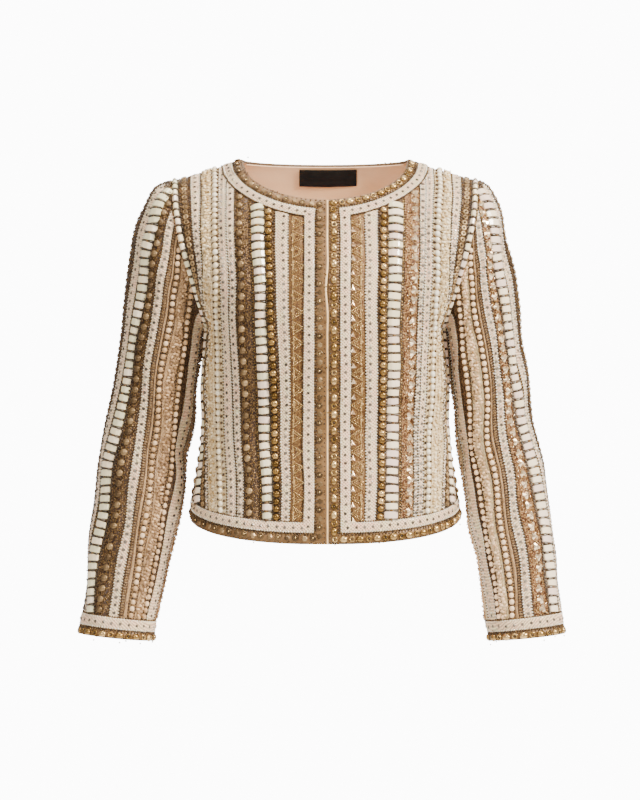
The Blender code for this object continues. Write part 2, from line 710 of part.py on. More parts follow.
def build_sleeves():
    top_angles = [line.angle for line in SLEEVE_LINES]
    heights = {line.angle: line.height for line in SLEEVE_LINES}
    ring = top_angles + [angle + 360 for angle in UNDER_ANGLES[1:-1]]
    for name, side in (("right", RIGHT), ("left", LEFT)):
        points = [
            [sleeve_point(side, row, angle) for angle in ring]
            for row in range(len(SLEEVE_ROWS))
        ]
        # The cuff trim's upper edge is a row of its own
        share = CUFF_RISE / (SLEEVE_ROWS[-2].outer_z - SLEEVE_ROWS[-1].outer_z)
        if share < 1:
            points[-2] = [end.lerp(start, share) for start, end in zip(points[-2], points[-1])]
        normals = find_normals(points, -side, closed=True)
        for column in range(len(ring)):
            square_to_seam(normals[0][column], 0)
        last = len(points) - 1
        bases = {"top_sleeve_": top_angles, "under_sleeve_": [a + 360 for a in UNDER_ANGLES]}
        for base, angles in bases.items():
            columns = [ring.index(a if a in ring else a - 360) for a in angles]
            outer, inner = [], []
            for row in range(len(points)):
                line, facing = [], []
                for column, angle in zip(columns, angles):
                    place, normal = points[row][column], normals[row][column]
                    if angle in (angles[0], angles[-1]):
                        ahead = points[row][(column + 1) % len(ring)]
                        along = (ahead - points[row][column - 1]).normalized() * SEAM / 2
                        place = place + (along if angle == angles[0] else -along)
                    height = heights.get(angle, 0.0) if 0 < row < last - 1 else 0.0
                    line.append(place + normal * height * MM)
                    facing.append(place - normal * CLOTH)
                outer.append(line)
                inner.append(facing)
            add_node(base + name, make_wall(outer, inner), "ivory beadwork", 0.45)
        strip = [points[last - 1] + points[last - 1][:1], points[last] + points[last][:1]]
        facing = [normals[last - 1] + normals[last - 1][:1], normals[last] + normals[last][:1]]
        add_node("cuff_trim_" + name, trim_wall(strip, facing, closed=True), "bronze beadwork")


build_fronts()
build_back()
build_piping()
build_sleeves()
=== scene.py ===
import math

import bmesh
import bpy
import numpy as np
from mathutils import Matrix, Vector


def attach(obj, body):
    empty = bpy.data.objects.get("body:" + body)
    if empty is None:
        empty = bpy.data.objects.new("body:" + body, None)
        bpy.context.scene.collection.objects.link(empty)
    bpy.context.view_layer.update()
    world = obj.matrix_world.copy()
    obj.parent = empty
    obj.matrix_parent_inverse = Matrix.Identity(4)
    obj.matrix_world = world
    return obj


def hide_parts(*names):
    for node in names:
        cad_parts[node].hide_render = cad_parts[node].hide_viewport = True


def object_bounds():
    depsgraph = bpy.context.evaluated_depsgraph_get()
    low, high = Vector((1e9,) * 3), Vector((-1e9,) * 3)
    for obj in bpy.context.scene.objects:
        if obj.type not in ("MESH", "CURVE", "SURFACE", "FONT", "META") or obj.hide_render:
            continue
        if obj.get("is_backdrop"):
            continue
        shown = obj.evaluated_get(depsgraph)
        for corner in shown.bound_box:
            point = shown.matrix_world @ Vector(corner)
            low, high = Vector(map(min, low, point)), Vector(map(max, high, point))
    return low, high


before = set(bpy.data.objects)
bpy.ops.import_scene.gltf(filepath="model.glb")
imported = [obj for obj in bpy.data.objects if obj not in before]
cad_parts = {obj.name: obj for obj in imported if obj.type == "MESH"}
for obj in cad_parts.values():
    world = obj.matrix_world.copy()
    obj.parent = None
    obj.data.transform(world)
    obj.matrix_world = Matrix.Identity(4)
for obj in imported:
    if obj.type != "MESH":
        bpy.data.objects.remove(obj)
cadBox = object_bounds()

# Metres, +Z up. The front faces -Y, and the wearer's right side is at -X.
# The surfaces repeat the solids' own, so the cloth and the beads lie on them.
mm = 0.001
right, left = -1, 1
front, back = -1, 1
luck = np.random.default_rng(7)

body = {
    "seam": 0.3,
    "sideY": 5.0,
    "underarmZ": -215.0,
    "chestHalf": 153.0,
    "chestDepth": {front: 125.0, back: 103.0},
    "squareness": 2.4,
    "neckPointX": 107.0,
    "shoulderTip": (199.0, -27.0),
    "armholeDepth": 62.0,
    "shoulderCorner": math.radians(62),
    "upperFall": {front: (1.8, 0.65), back: (2.2, 0.6)},
    "neckDrop": {front: 55.0, back: 4.0},
    "trimOuterX": 134.0,
    "trimDrop": {front: 79.0, back: 31.0},
    "trimRoundness": 1.8,
    "hemZ": {front: -494.0, back: -478.0},
    "sideHemZ": -462.0,
    "trimWidth": 28.5,
    "cloth": 2.0,
    # z, half width, depth in front, depth behind
    "rows": [
        (-500, 175.5, 127, 110), (-460, 172.5, 125, 107), (-425, 169, 122, 101),
        (-385, 162, 118, 93), (-340, 157.5, 116, 88), (-300, 158.5, 119, 93),
        (-255, 156, 124, 100), (-215, 153, 125, 103), (-175, 151, 124, 103),
    ],
    # side, face, x, z, width, length, depth
    "folds": [
        (right, front, 139, -300, 13, 70, 5.0), (left, front, 137, -290, 13, 65, 6.0),
        (right, back, 120, -330, 16, 60, 4.0), (left, back, 120, -330, 16, 60, 4.0),
    ],
}

# Lines down the beadwork: distance from the middle on the right front at chest and hem
# level, then on the left front. The back has the left front's.
lines = [
    (-1.2, -1.2, 4.8, 4.8), (28, 28.5, 33, 33.5),
    (30, 31, 35, 36), (46, 44, 50.5, 50.5),
    (48.5, 46, 53, 53), (63.5, 56, 67.5, 65.5),
    (70, 61, 73.5, 70), (76.5, 66, 80, 75),
    (78.5, 68.5, 82, 77), (93.5, 81.5, 98.5, 93.5),
    (95.5, 83.5, 101, 95.5), (98, 85.5, 103, 97.5),
    (112.5, 101, 118, 109), (114.5, 103, 120.5, 111),
    (124, 112, 127, 116), (134, 121.5, 134, 121),
    (137.5, 129, 141, 127), (141.5, 133.5, 145, 131),
    (145.5, 138, 149.5, 135), (152, 144, 155, 143),
    (158, 150, 160.5, 151),
]
chestLevel, hemLevel = -103.0, -428.0
neckLine = 15      # the line that meets the neck trim at the shoulder seam
sideLine = 23      # the side seam and the armhole
lastShares = {16: 0.90, 17: 0.915, 18: 0.93, 19: 0.945, 20: 0.96}


def blend(start, end, share):
    return start + (end - start) * share


def ease(t, low, high, enter, leave):
    # A cubic from low to high that starts and ends with the given slopes
    return (
        (2 * t**3 - 3 * t**2 + 1) * low + (t**3 - 2 * t**2 + t) * enter
        + (3 * t**2 - 2 * t**3) * high + (t**3 - t**2) * leave
    )


def readRow(rows, key):
    # Smooth reading of a table between its rows, with the first column as the key
    place = 0
    while place < len(rows) - 2 and rows[place + 1][0] < key:
        place += 1
    before, low = rows[max(place - 1, 0)], rows[place]
    high, after = rows[place + 1], rows[min(place + 2, len(rows) - 1)]
    span = high[0] - low[0]
    values = []
    for column in range(1, len(low)):
        enter = (high[column] - before[column]) / (high[0] - before[0]) * span
        leave = (after[column] - low[column]) / (after[0] - low[0]) * span
        values.append(ease((key - low[0]) / span, low[column], high[column], enter, leave))
    return values


def shoulderZ(x):
    tipX, tipZ = body["shoulderTip"]
    neck = body["neckPointX"]
    slope = tipZ / (tipX - neck)
    if abs(x) > neck:
        return slope * (abs(x) - neck)
    return slope * (x**2 - neck**2) / (2 * neck)


def armholeX(rise):
    return blend(body["chestHalf"], body["shoulderTip"][0], math.sin(rise * math.pi / 2) ** 1.1)


def shareToRise(share):
    return (1 - math.cos(math.pi * share)) / 2


def levelSizes(face, z, share):
    # Half width, depth, depth left at the armhole, and the section's last angle
    if share <= 0:
        half, inFront, behind = readRow(body["rows"], z)
        return half, inFront if face == front else behind, 0.0, math.pi / 2
    rise = shareToRise(share)
    power, root = body["upperFall"][face]
    depth = body["chestDepth"][face] * max(1 - rise**power, 0.0) ** root
    armhole = body["armholeDepth"] * math.sin(math.pi * share)
    return armholeX(rise), depth, armhole, blend(math.pi / 2, body["shoulderCorner"], rise)


def angleAt(x, half, corner):
    reach = min(abs(x) / half, 1.0) ** (body["squareness"] / 2) * math.sin(corner)
    return math.copysign(math.asin(min(reach, 1.0)), x)


def bodyPoint(side, face, angle, z, share):
    half, depth, armhole, corner = levelSizes(face, z, share)
    power = 2 / body["squareness"]
    across = math.copysign((abs(math.sin(angle)) / math.sin(corner)) ** power, angle)
    end = max(math.cos(corner), 0.0) ** power
    fall = (max(math.cos(angle), 0.0) ** power - end) / (1 - end)
    x = half * across
    if share > 0:
        low = body["underarmZ"]
        z = low + (shoulderZ(x) - low) * shareToRise(share)
    dent = 0.0
    for foldSide, foldFace, foldX, foldZ, width, length, deep in body["folds"]:
        if foldSide == side and foldFace == face:
            dent += deep * math.exp(-((x - foldX) / width) ** 2 - ((z - foldZ) / length) ** 2)
    # The armhole opens abruptly at the underarm, but the cloth away from it eases out
    eased = body["armholeDepth"] * (armhole / body["armholeDepth"]) ** 3
    y = (depth - dent) * fall + eased * (1 - fall) + (armhole - eased) * (1 - fall) ** 2
    y += body["seam"] / 2
    return side * x * mm, (body["sideY"] + face * y) * mm, z * mm


def pointAt(side, face, x, z):
    low = body["underarmZ"]
    rise = (z - low) / (shoulderZ(x) - low)
    share = math.acos(1 - 2 * min(max(rise, 0.0), 1.0)) / math.pi
    half, _, _, corner = levelSizes(face, z, share)
    return bodyPoint(side, face, angleAt(x, half, corner), z, share)


def lineX(side, face, line, z):
    if face == back and line == 0:
        return 0.0
    row = lines[line][2:] if side == left or face == back else lines[line][:2]
    return blend(row[0], row[1], (z - chestLevel) / (hemLevel - chestLevel))


def betweenLines(side, face, column, z, half=None):
    # x of a line or of a share of the way to the next
    low = min(int(column), len(lines) - 1)
    ends = []
    for line in (low, min(low + 1, len(lines) - 1)):
        x = lineX(side, face, line, z)
        if half and line in lastShares:
            x = min(x, lastShares[line] * half)
        ends.append(x)
    return blend(ends[0], ends[1], min(column, len(lines) - 1) - low)


def columnAngle(side, face, column, z, share):
    half, _, _, corner = levelSizes(face, z, share)
    angle = angleAt(betweenLines(side, face, column, z, half), half, corner)
    last = len(lines) - 1
    return blend(angle, corner, max(column - last, 0) / (sideLine - last))


def trimOuterZ(face, x):
    end = shoulderZ(body["trimOuterX"])
    power = body["trimRoundness"]
    bow = (1 - min(abs(x) / body["trimOuterX"], 1.0) ** power) ** (1 / power)
    return end - (body["trimDrop"][face] + end) * bow


def panelPoint(side, face, column, level):
    # Levels: -1 hem, -0.9 upper edge of its trim, 0 underarm, 1 shoulder seam or the neck
    # trim's outer edge, 2 neckline
    low, width = body["underarmZ"], body["trimWidth"]
    if level <= 0:
        angle = columnAngle(side, face, column, body["hemZ"][face] + width, 0)
        hem = blend(body["hemZ"][face], body["sideHemZ"], 1 - math.cos(angle))
        if level < -0.9:
            z = hem + (level + 1) * 10 * width
        else:
            z = blend(hem + width, low, (level + 0.9) / 0.9)
        return bodyPoint(side, face, columnAngle(side, face, column, z, 0), z, 0)
    if column > neckLine:
        if level > 1:
            level = 1
        if column < neckLine + 1:
            ends = [panelPoint(side, face, neckLine + step, level) for step in (0, 1)]
            return tuple(blend(a, b, column - neckLine) for a, b in zip(*ends))
        z = low * (1 - shareToRise(level))
        return bodyPoint(side, face, columnAngle(side, face, column, z, level), z, level)
    topX = body["trimOuterX"] if column == neckLine else betweenLines(side, face, column, -60)
    if level > 1:
        start = lineX(side, face, 0, 0)
        share = (topX - start) / (body["trimOuterX"] - start)
        neckX = blend(start, body["neckPointX"], share)
        drop = math.sqrt(max(1 - (neckX / body["neckPointX"]) ** 2, 0.0))
        neckZ = -body["neckDrop"][face] * drop
        x = blend(topX, neckX, level - 1)
        return pointAt(side, face, x, blend(trimOuterZ(face, topX), neckZ, level - 1))
    rise = (trimOuterZ(face, topX) - low) / (shoulderZ(topX) - low)
    share = level * math.acos(1 - 2 * min(rise, 1.0)) / math.pi
    z = low + (shoulderZ(topX) - low) * shareToRise(share)
    x = betweenLines(side, face, column, z)
    x = blend(x, topX, max(share - 0.3, 0.0) / 0.7) if level < 1 else topX
    half, _, _, corner = levelSizes(face, z, share)
    return bodyPoint(side, face, angleAt(x, half, corner), z, share)


def unit(values):
    return values / np.maximum(np.linalg.norm(values, axis=-1, keepdims=True), 1e-12)


class Net:
    # A smooth sheet of points over two coordinates, read between its points
    def __init__(self, across, down, points, middles):
        self.across, self.down = np.array(across, float), np.array(down, float)
        self.points = np.array(points, float)
        sideways = np.gradient(self.points, axis=1)
        upwards = np.gradient(self.points, axis=0)
        normals = unit(np.cross(sideways, upwards))
        away = self.points - np.array(middles)
        flip = np.sign(np.sum(normals * away, axis=2).mean())
        self.normals = normals * flip
        # Metres across and along the cloth
        steps = np.linalg.norm(np.diff(self.points, axis=1), axis=2)
        widths = np.pad(np.cumsum(steps, axis=1), ((0, 0), (1, 0)))
        steps = np.linalg.norm(np.diff(self.points, axis=0), axis=2)
        lengths = np.pad(np.cumsum(steps, axis=0), ((1, 0), (0, 0)))
        self.flat = np.stack([widths, lengths], axis=2)

    def ripple(self, height, drift):
        # The hand-made look: cloth that isn't quite flat, and lines that aren't quite straight,
        # out of sines 50 to 160 mm long that die out at the net's edges
        waves, calmEdge = 7, 30
        place = self.flat / mm
        ends = place[:, -1:, 0] - place[..., 0], place[-1:, :, 1] - place[..., 1]
        edge = np.minimum(np.minimum(place[..., 0], ends[0]), np.minimum(place[..., 1], ends[1]))
        calm = np.clip(edge / calmEdge, 0, 1) ** 2
        sideways = unit(np.gradient(self.points, axis=1))
        for direction, size in ((self.normals, height), (sideways, drift)):
            total = np.zeros(place.shape[:2])
            for turn in luck.uniform(0, math.pi, waves):
                length, start = luck.uniform(50, 160), luck.uniform(0, 6)
                run = place[..., 0] * math.cos(turn) + place[..., 1] * math.sin(turn)
                total += np.sin(run / length * 2 * math.pi + start)
            self.points += direction * (total * calm * size / waves**0.5)[..., None] * mm

    def read(self, values, u, v):
        u, v = np.broadcast_arrays(np.asarray(u, float), np.asarray(v, float))
        column = np.clip(np.searchsorted(self.across, u, "right") - 1, 0, len(self.across) - 2)
        row = np.clip(np.searchsorted(self.down, v, "right") - 1, 0, len(self.down) - 2)
        s = (u - self.across[column]) / (self.across[column + 1] - self.across[column])
        t = (v - self.down[row]) / (self.down[row + 1] - self.down[row])
        s, t = s[..., None], t[..., None]
        low = values[row, column] * (1 - s) + values[row, column + 1] * s
        high = values[row + 1, column] * (1 - s) + values[row + 1, column + 1] * s
        return low * (1 - t) + high * t

    def lift(self, u, v, height):
        # Points over the net at a height in millimetres
        u, v = np.broadcast_arrays(u, v)
        normals = unit(self.read(self.normals, u, v))
        height = np.broadcast_to(height, u.shape)[..., None]
        return self.read(self.points, u, v) + normals * height * mm


def follow(net, u, v, pitch, height=0.0, start=0.5):
    # Evenly spaced places along a line on the net: points, outward, along and across it
    points = net.lift(u, v, height)
    normals = net.read(net.normals, u, v)
    steps = np.linalg.norm(np.diff(points, axis=0), axis=1)
    far = np.concatenate([[0.0], np.cumsum(steps)])
    count = max(int(round(far[-1] / (pitch * mm))), 1)
    at = (np.arange(count) + start) * far[-1] / count

    def pick(values):
        return np.stack([np.interp(at, far, values[:, axis]) for axis in range(3)], axis=1)

    outward = unit(pick(normals))
    along = pick(np.gradient(points, axis=0))
    along = unit(along - outward * np.sum(along * outward, axis=1, keepdims=True))
    return {
        "place": pick(points), "outward": outward, "along": along,
        "across": np.cross(along, outward), "v": np.interp(at, far, np.broadcast_to(v, len(far))),
    }


# Materials: one function adds a node, and one makes each finish from the real one's facts

def linear(code):
    parts = [int(code[i:i + 2], 16) / 255 for i in (1, 3, 5)]
    parts = [p / 12.92 if p <= 0.04045 else ((p + 0.055) / 1.055) ** 2.4 for p in parts]
    return (*parts, 1.0)


def addNode(material, kind, settings=None, links=None):
    made = material.node_tree.nodes.new(kind)
    for key, value in (settings or {}).items():
        if isinstance(key, int) or key[0].isupper():
            made.inputs[key].default_value = value
        else:
            setattr(made, key, value)
    for key, socket in (links or {}).items():
        material.node_tree.links.new(socket, made.inputs[key])
    return made


def addRamp(material, value, stops):
    ramp = addNode(material, "ShaderNodeValToRGB", links={"Fac": value})
    elements = ramp.color_ramp.elements
    while len(elements) < len(stops):
        elements.new(0.5)
    for element, (place, colour) in zip(elements, stops):
        element.position = place
        element.color = linear(colour)
    return ramp.outputs["Color"]


def addRange(material, value, *ends):
    names = ("From Min", "From Max", "To Min", "To Max")
    made = addNode(material, "ShaderNodeMapRange", dict(zip(names, ends)), {"Value": value})
    return made.outputs["Result"]


def darken(material, share, first, second):
    made = addNode(
        material, "ShaderNodeMix", {"data_type": "RGBA", "blend_type": "MULTIPLY", "Factor": share},
        {6: first, 7: second},
    )
    return made.outputs[2]


def finish(name, drift, size, rough, colours, bump, deep, shader, **grain):
    # Colour and roughness drift over so many mm, and with tones the colour also changes from bead
    # to bead. The relief is so many mm wide and deep: cells make it round beads, turns make it
    # threads that cross at those angles, and without either it is plain grain. With cells or turns
    # the colour darkens towards the gap colour where the relief is low, between beads and between
    # threads: partly the darker ground showing, partly painted shade in the hollows.
    material = bpy.data.materials.new(name)
    material.use_nodes = True
    inputs = material.node_tree.nodes["Principled BSDF"].inputs
    for key, value in shader.items():
        inputs[key].default_value = value
    spot = addNode(material, "ShaderNodeTexCoord").outputs
    noise = addNode(
        material, "ShaderNodeTexNoise",
        {"Scale": 1 / (drift * mm), "Detail": 3.0, "Roughness": 0.6}, {"Vector": spot["Object"]},
    ).outputs["Fac"]
    share = noise
    if "tones" in grain:
        tone = addNode(material, "ShaderNodeAttribute", {"attribute_name": "tone"}).outputs["Fac"]
        share = addNode(
            material, "ShaderNodeMath", {"operation": "MULTIPLY_ADD", 1: 0.35}, {0: noise, 2: tone}
        ).outputs["Value"]
    colour = addRamp(material, share, colours)
    size = size * mm
    if "cells" in grain:
        cells = addNode(
            material, "ShaderNodeTexVoronoi", {"Scale": 1 / size, "Randomness": 0.75},
            {"Vector": spot["Object"]},
        ).outputs
        rise = addRange(material, cells["Distance"], 0.1, 0.62, 1.0, 0.0)
        hue = addNode(material, "ShaderNodeSeparateColor", links={"Color": cells["Color"]})
        glint = addRamp(material, hue.outputs["Red"], grain["cells"])
        # Painted shade: darker towards the gap colour between the beads, partly the ground showing
        # through
        shade = addRamp(material, rise, [(0.0, grain["gap"]), (0.45, "#FFFFFF")])
        colour = darken(material, 1.0, darken(material, 0.8, colour, glint), shade)
    elif "turns" in grain:
        rises = {}
        for number, turn in enumerate(grain["turns"]):
            laid = addNode(
                material, "ShaderNodeMapping", {"Rotation": (0, 0, math.radians(turn))},
                {"Vector": spot["UV"]},
            )
            # One dark and light band is a twentieth of a wave texture's unit length
            rises[number] = addNode(
                material, "ShaderNodeTexWave",
                {"Scale": 0.314 / size, "Distortion": grain["slack"], "Detail": 1.0},
                {"Vector": laid.outputs["Vector"]},
            ).outputs["Fac"]
        rise = addNode(material, "ShaderNodeMath", {"operation": "MAXIMUM"}, rises).outputs["Value"]
        # Painted shade: darker towards the gap colour between the threads, partly the ground
        # showing through
        shade = addRamp(material, rise, [(0.3, grain["gap"]), (0.95, "#FFFFFF")])
        colour = darken(material, 0.65, colour, shade)
    else:
        rise = addNode(
            material, "ShaderNodeTexNoise", {"Scale": 1 / size, "Detail": 2.0},
            {"Vector": spot["Object"]},
        ).outputs["Fac"]
    bumped = addNode(
        material, "ShaderNodeBump", {"Strength": bump, "Distance": deep * mm}, {"Height": rise}
    )
    link = material.node_tree.links.new
    link(addRange(material, noise, 0.3, 0.7, *rough), inputs["Roughness"])
    link(colour, inputs["Base Color"])
    link(bumped.outputs["Normal"], inputs["Normal"])
    return material


# Name, drift, relief size, roughness, colours, bump, depth, shader, and what the relief needs
finishes = {
    # Tulle worked solid with matt seed beads, which show as the dark lines between the stripes
    "tulle": finish(
        "beaded tulle, brown", 30, 1.6, (0.45, 0.6), [(0.35, "#6A4E30"), (0.65, "#8A6A44")],
        0.8, 0.6, {"Metallic": 0.15}, cells=[(0.2, "#B8A284"), (0.8, "#FFFFFF")], gap="#5E462C"),
    # Machine braid of pearly flat yarn, knitted in diamonds, faint pink and green lights
    "braid": finish(
        "pearl braid, ivory", 14, 3.0, (0.35, 0.5),
        [(0.25, "#ECE2AC"), (0.42, "#FFE0B2"), (0.6, "#FFD6AE"), (0.8, "#FFC4A2")],
        1.0, 1.0, {"Sheen Weight": 0.1, "Coat Weight": 0.2}, turns=(45, -45), slack=3.5,
        gap="#7C5836"),
    # Metal-lined glass seed beads sewn side by side
    "goldGround": finish(
        "gold-lined seed beads, sewn solid", 22, 1.6, (0.3, 0.45),
        [(0.3, "#7C5C2C"), (0.7, "#926E3A")], 0.6, 0.5, {"Metallic": 0.35},
        cells=[(0.15, "#D8C4A0"), (0.85, "#FFFFFF")], gap="#A08458"),
    "bronzeGround": finish(
        "bronze-lined seed beads, sewn solid", 18, 2.0, (0.25, 0.4),
        [(0.3, "#7C6034"), (0.7, "#927248")], 0.9, 0.8, {"Metallic": 0.45},
        cells=[(0.1, "#8E744A"), (0.6, "#D8C8A0"), (0.9, "#FFFFFF")], gap="#6A5028"),
    # The bronze stripes' paler ground on the lit side: partly its own pinker colour, partly painted
    # light
    "copperGround": finish(
        "copper-lined seed beads, sewn solid", 16, 2.0, (0.25, 0.4),
        [(0.3, "#A88250"), (0.7, "#CCA474")], 0.9, 0.8, {"Metallic": 0.4},
        cells=[(0.1, "#A08058"), (0.6, "#E4D0B0"), (0.9, "#FFFFFF")], gap="#7C5C34"),
    # Dull bronze satin of the borders, under their beads
    "borderSatin": finish(
        "duchesse satin, bronze", 12, 1.0, (0.35, 0.5), [(0.3, "#6C4C26"), (0.7, "#8C683A")],
        0.3, 0.15, {"Metallic": 0.25, "Sheen Weight": 0.1}, turns=(0, 90), slack=1.0,
        gap="#A08A68"),
    # Satin of the sleeves' stripes and of the soft puffs, in tight creases
    "tanSatin": finish(
        "gathered satin, tan", 12, 3.5, (0.32, 0.5), [(0.3, "#98744A"), (0.6, "#B49064")],
        0.8, 0.8, {"Sheen Weight": 0.2, "Sheen Roughness": 0.4}, turns=(0, 90), slack=6.0,
        gap="#AE8E66"),
    "tuftSatin": finish(
        "gathered satin, cream", 12, 3.5, (0.32, 0.5),
        [(0.3, "#D2B582"), (0.5, "#E8CFA0"), (0.7, "#F2DFBC")], 0.8, 0.8,
        {"Sheen Weight": 0.2, "Sheen Roughness": 0.4}, turns=(0, 90), slack=6.0, gap="#B89C6E"),
    "cordSatin": finish(
        "satin-covered cord, pale gold", 30, 0.9, (0.3, 0.4),
        [(0.3, "#E8B87C"), (0.7, "#F8D09A")], 0.2, 0.12, {"Sheen Weight": 0.3}),
    # Smooth, with a broad soft light
    "lining": finish(
        "lining satin, nude pink", 60, 0.7, (0.38, 0.48), [(0.3, "#F6CA9A"), (0.7, "#FCD6AC")],
        0.12, 0.08, {"Sheen Weight": 0.1}, turns=(0, 90), slack=0.6, gap="#ECDCCC"),
    "label": finish(
        "woven label, black", 10, 0.8, (0.5, 0.7), [(0.3, "#080707"), (0.7, "#0E0C0C")],
        0.4, 0.15, {"Specular IOR Level": 0.2}),
}
beadFinishes = {
    # Cast resin stones with a pearl finish: bright, softly glossy, a little warm
    "stone": (
        "cast resin stone, pearl white", 9, 5, (0.15, 0.28),
        [(0.1, "#E8DCB0"), (0.4, "#FFE6BC"), (0.65, "#FFEAC8"), (0.95, "#F0D2BC")],
        0.15, 0.3, {"IOR": 1.5, "Coat Weight": 0.6, "Coat Roughness": 0.1}),
    # Foil-backed cut glass: each stone mirrors the room
    "copper": (
        "foil-backed glass, copper", 8, 4, (0.12, 0.25),
        [(0.1, "#96683C"), (0.5, "#D0A070"), (0.9, "#FADDB4")], 0.15, 0.3,
        {"Metallic": 0.85, "Coat Weight": 0.5}),
    "bronze": (
        "metal-coated resin, bronze", 6, 3, (0.28, 0.42),
        [(0.1, "#4A361E"), (0.5, "#7E6442"), (0.95, "#BC9C70")], 0.3, 0.3, {"Metallic": 0.6}),
    "gold": (
        "metal-coated acrylic, old gold", 5, 2, (0.2, 0.35),
        [(0.1, "#5E451E"), (0.5, "#94723E"), (0.95, "#DAB67C")], 0.2, 0.3, {"Metallic": 0.85}),
    "dark": (
        "glass seed beads, dark brown", 6, 2, (0.2, 0.35),
        [(0.1, "#2E2010"), (0.6, "#523A1E"), (0.95, "#86663A")], 0.1, 0.2, {"IOR": 1.5}),
    "ivory": (
        "glass seed beads, ivory lustre", 6, 2, (0.2, 0.35),
        [(0.1, "#CDBB9C"), (0.6, "#EEE2CC"), (0.95, "#F8F1E4")], 0.1, 0.2,
        {"IOR": 1.5, "Coat Weight": 0.3}),
    "pearl": (
        "dipped pearl, cream", 8, 3, (0.22, 0.32),
        [(0.1, "#D2B888"), (0.5, "#EBD8B4"), (0.9, "#F5EAD2")], 0.1, 0.2,
        {"Coat Weight": 0.5, "Sheen Weight": 0.1}),
    # Snips of satin sewn down in tufts
    "cream": (
        "satin snips, cream", 5, 1.5, (0.35, 0.5),
        [(0.1, "#B8945A"), (0.5, "#E6C893"), (0.9, "#F6E3BC")], 0.4, 0.3, {"Sheen Weight": 0.2}),
    "tan": (
        "satin snips, tan", 5, 1.5, (0.35, 0.5),
        [(0.1, "#8A6640"), (0.5, "#C29866"), (0.9, "#F6D0A4")], 0.4, 0.3, {"Sheen Weight": 0.2}),
    "smoke": (
        "sequins, smoke grey", 6, 2, (0.2, 0.35),
        [(0.1, "#453D33"), (0.6, "#6E6356"), (0.95, "#9A8E7C")], 0.1, 0.2, {"Metallic": 0.4}),
}
for key, facts in beadFinishes.items():
    finishes[key] = finish(*facts, tones=True)
print("materials:", len(finishes))


# Meshes

def addWall(mesh, outer, inner, flat, paint=None, keep=None, closed=False, insidePaint=0):
    # A closed solid between two nets: a grid is laid on the outer one and its copy moved onto
    # the inner one. keep and paint are asked for each cell's row and column.
    rows, columns = outer.shape[:2]
    place = mesh.verts.layers.int.get("place") or mesh.verts.layers.int.new("place")
    uv = mesh.loops.layers.uv.get("flat") or mesh.loops.layers.uv.new("flat")
    made = bmesh.ops.create_grid(mesh, x_segments=columns - 1, y_segments=rows - 1, size=1)
    spots = made["verts"]
    for number, spot in enumerate(spots):
        spot[place] = number
        spot.co = outer[number // columns, number % columns]
    faces = list(dict.fromkeys(face for spot in spots for face in spot.link_faces))
    gone = []
    for face in faces:
        row, column = divmod(min(spot[place] for spot in face.verts), columns)
        if keep and not keep(row, column):
            gone.append(face)
            continue
        face.material_index = paint(row, column) if paint else 0
        for corner in face.loops:
            number = corner.vert[place]
            corner[uv].uv = flat[number // columns, number % columns]
    if gone:
        dropped = set(gone)
        faces = [face for face in faces if face not in dropped]
        bmesh.ops.delete(mesh, geom=gone, context="FACES")
    made = bmesh.ops.extrude_face_region(mesh, geom=faces, use_keep_orig=True)
    for piece in made["geom"]:
        if isinstance(piece, bmesh.types.BMVert):
            number = piece[place]
            piece.co = inner[number // columns, number % columns]
        elif isinstance(piece, bmesh.types.BMFace) and insidePaint:
            piece.material_index = insidePaint
    if closed:
        bmesh.ops.remove_doubles(mesh, verts=mesh.verts, dist=0.001 * mm)
    return mesh


def addObject(name, data):
    made = bpy.data.objects.new(name, data)
    bpy.context.scene.collection.objects.link(made)
    return made


def addPiece(name, mesh, materials, nodes=()):
    bmesh.ops.recalc_face_normals(mesh, faces=mesh.faces)
    data = bpy.data.meshes.new(name)
    mesh.to_mesh(data)
    mesh.free()
    data.shade_smooth()
    data.set_sharp_from_angle(angle=math.radians(50))
    return showPiece(name, data, materials, nodes)


def showPiece(name, data, materials, nodes=()):
    for material in materials:
        data.materials.append(finishes[material])
    piece = addObject(name, data)
    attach(piece, "root")
    if nodes:
        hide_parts(*nodes)
    return piece


# Nets of the body, with finer columns at the sides

columnsOut = {step / 2 for step in range(2 * sideLine + 1)} | {20 + step / 4 for step in range(13)}
columnsOut = sorted(columnsOut)
levels = np.concatenate([
    np.linspace(-1, -0.9, 5), np.linspace(-0.9, 0, 41)[1:], np.linspace(0, 1, 41)[1:],
    np.linspace(1, 2, 8)[1:],
])


def bodyNet(face, side=None):
    columns = columnsOut
    if side is None:
        columns = [-column for column in reversed(columnsOut[1:])] + columnsOut
    points, middles = [], []
    for level in levels:
        row = []
        for column in columns:
            onSide = side or (right if column < 0 else left)
            row.append(panelPoint(onSide, face, abs(column), level))
        points.append(row)
        middles.append([
            (0, body["sideY"] * mm, min(point[2], body["underarmZ"] * mm)) for point in row
        ])
    return Net(columns, levels, points, middles)


nets = {
    "front_right": bodyNet(front, right),
    "front_left": bodyNet(front, left),
    "back": bodyNet(back),
}
for net in nets.values():
    net.ripple(0.8, 0.9)
print("body nets:", {name: net.points.shape for name, net in nets.items()})


def addCloth(name, net, grid, v, depth=0.0, keep=None):
    # A panel: beaded cloth outside and lining inside
    thick = body["cloth"]
    mesh = addWall(
        bmesh.new(), net.lift(grid, v, depth), net.lift(grid, v, depth - thick),
        net.read(net.flat, grid, v), keep=keep, insidePaint=1,
    )
    piece = addPiece(name + "_cloth", mesh, ["tulle", "lining"], [name])
    print(name, "area", sum(face.area for face in piece.data.polygons) / 2)


def buildCloth():
    underarm = 85      # rows up to here are taken two by two
    rows = np.concatenate([levels[:underarm:2], levels[underarm:]])
    lastRow = int(np.searchsorted(rows, 1.0))
    for name, net in nets.items():
        columns = net.across[net.across == np.round(net.across)]
        wide = np.abs(columns)
        limit = np.maximum(wide[:-1], wide[1:])
        grid, v = np.meshgrid(columns, rows)
        addCloth(
            name, net, grid, v,
            keep=lambda row, column: row < lastRow or limit[column] <= neckLine,
        )


buildCloth()


# Nets of the sleeves, round each from its under seam through the front

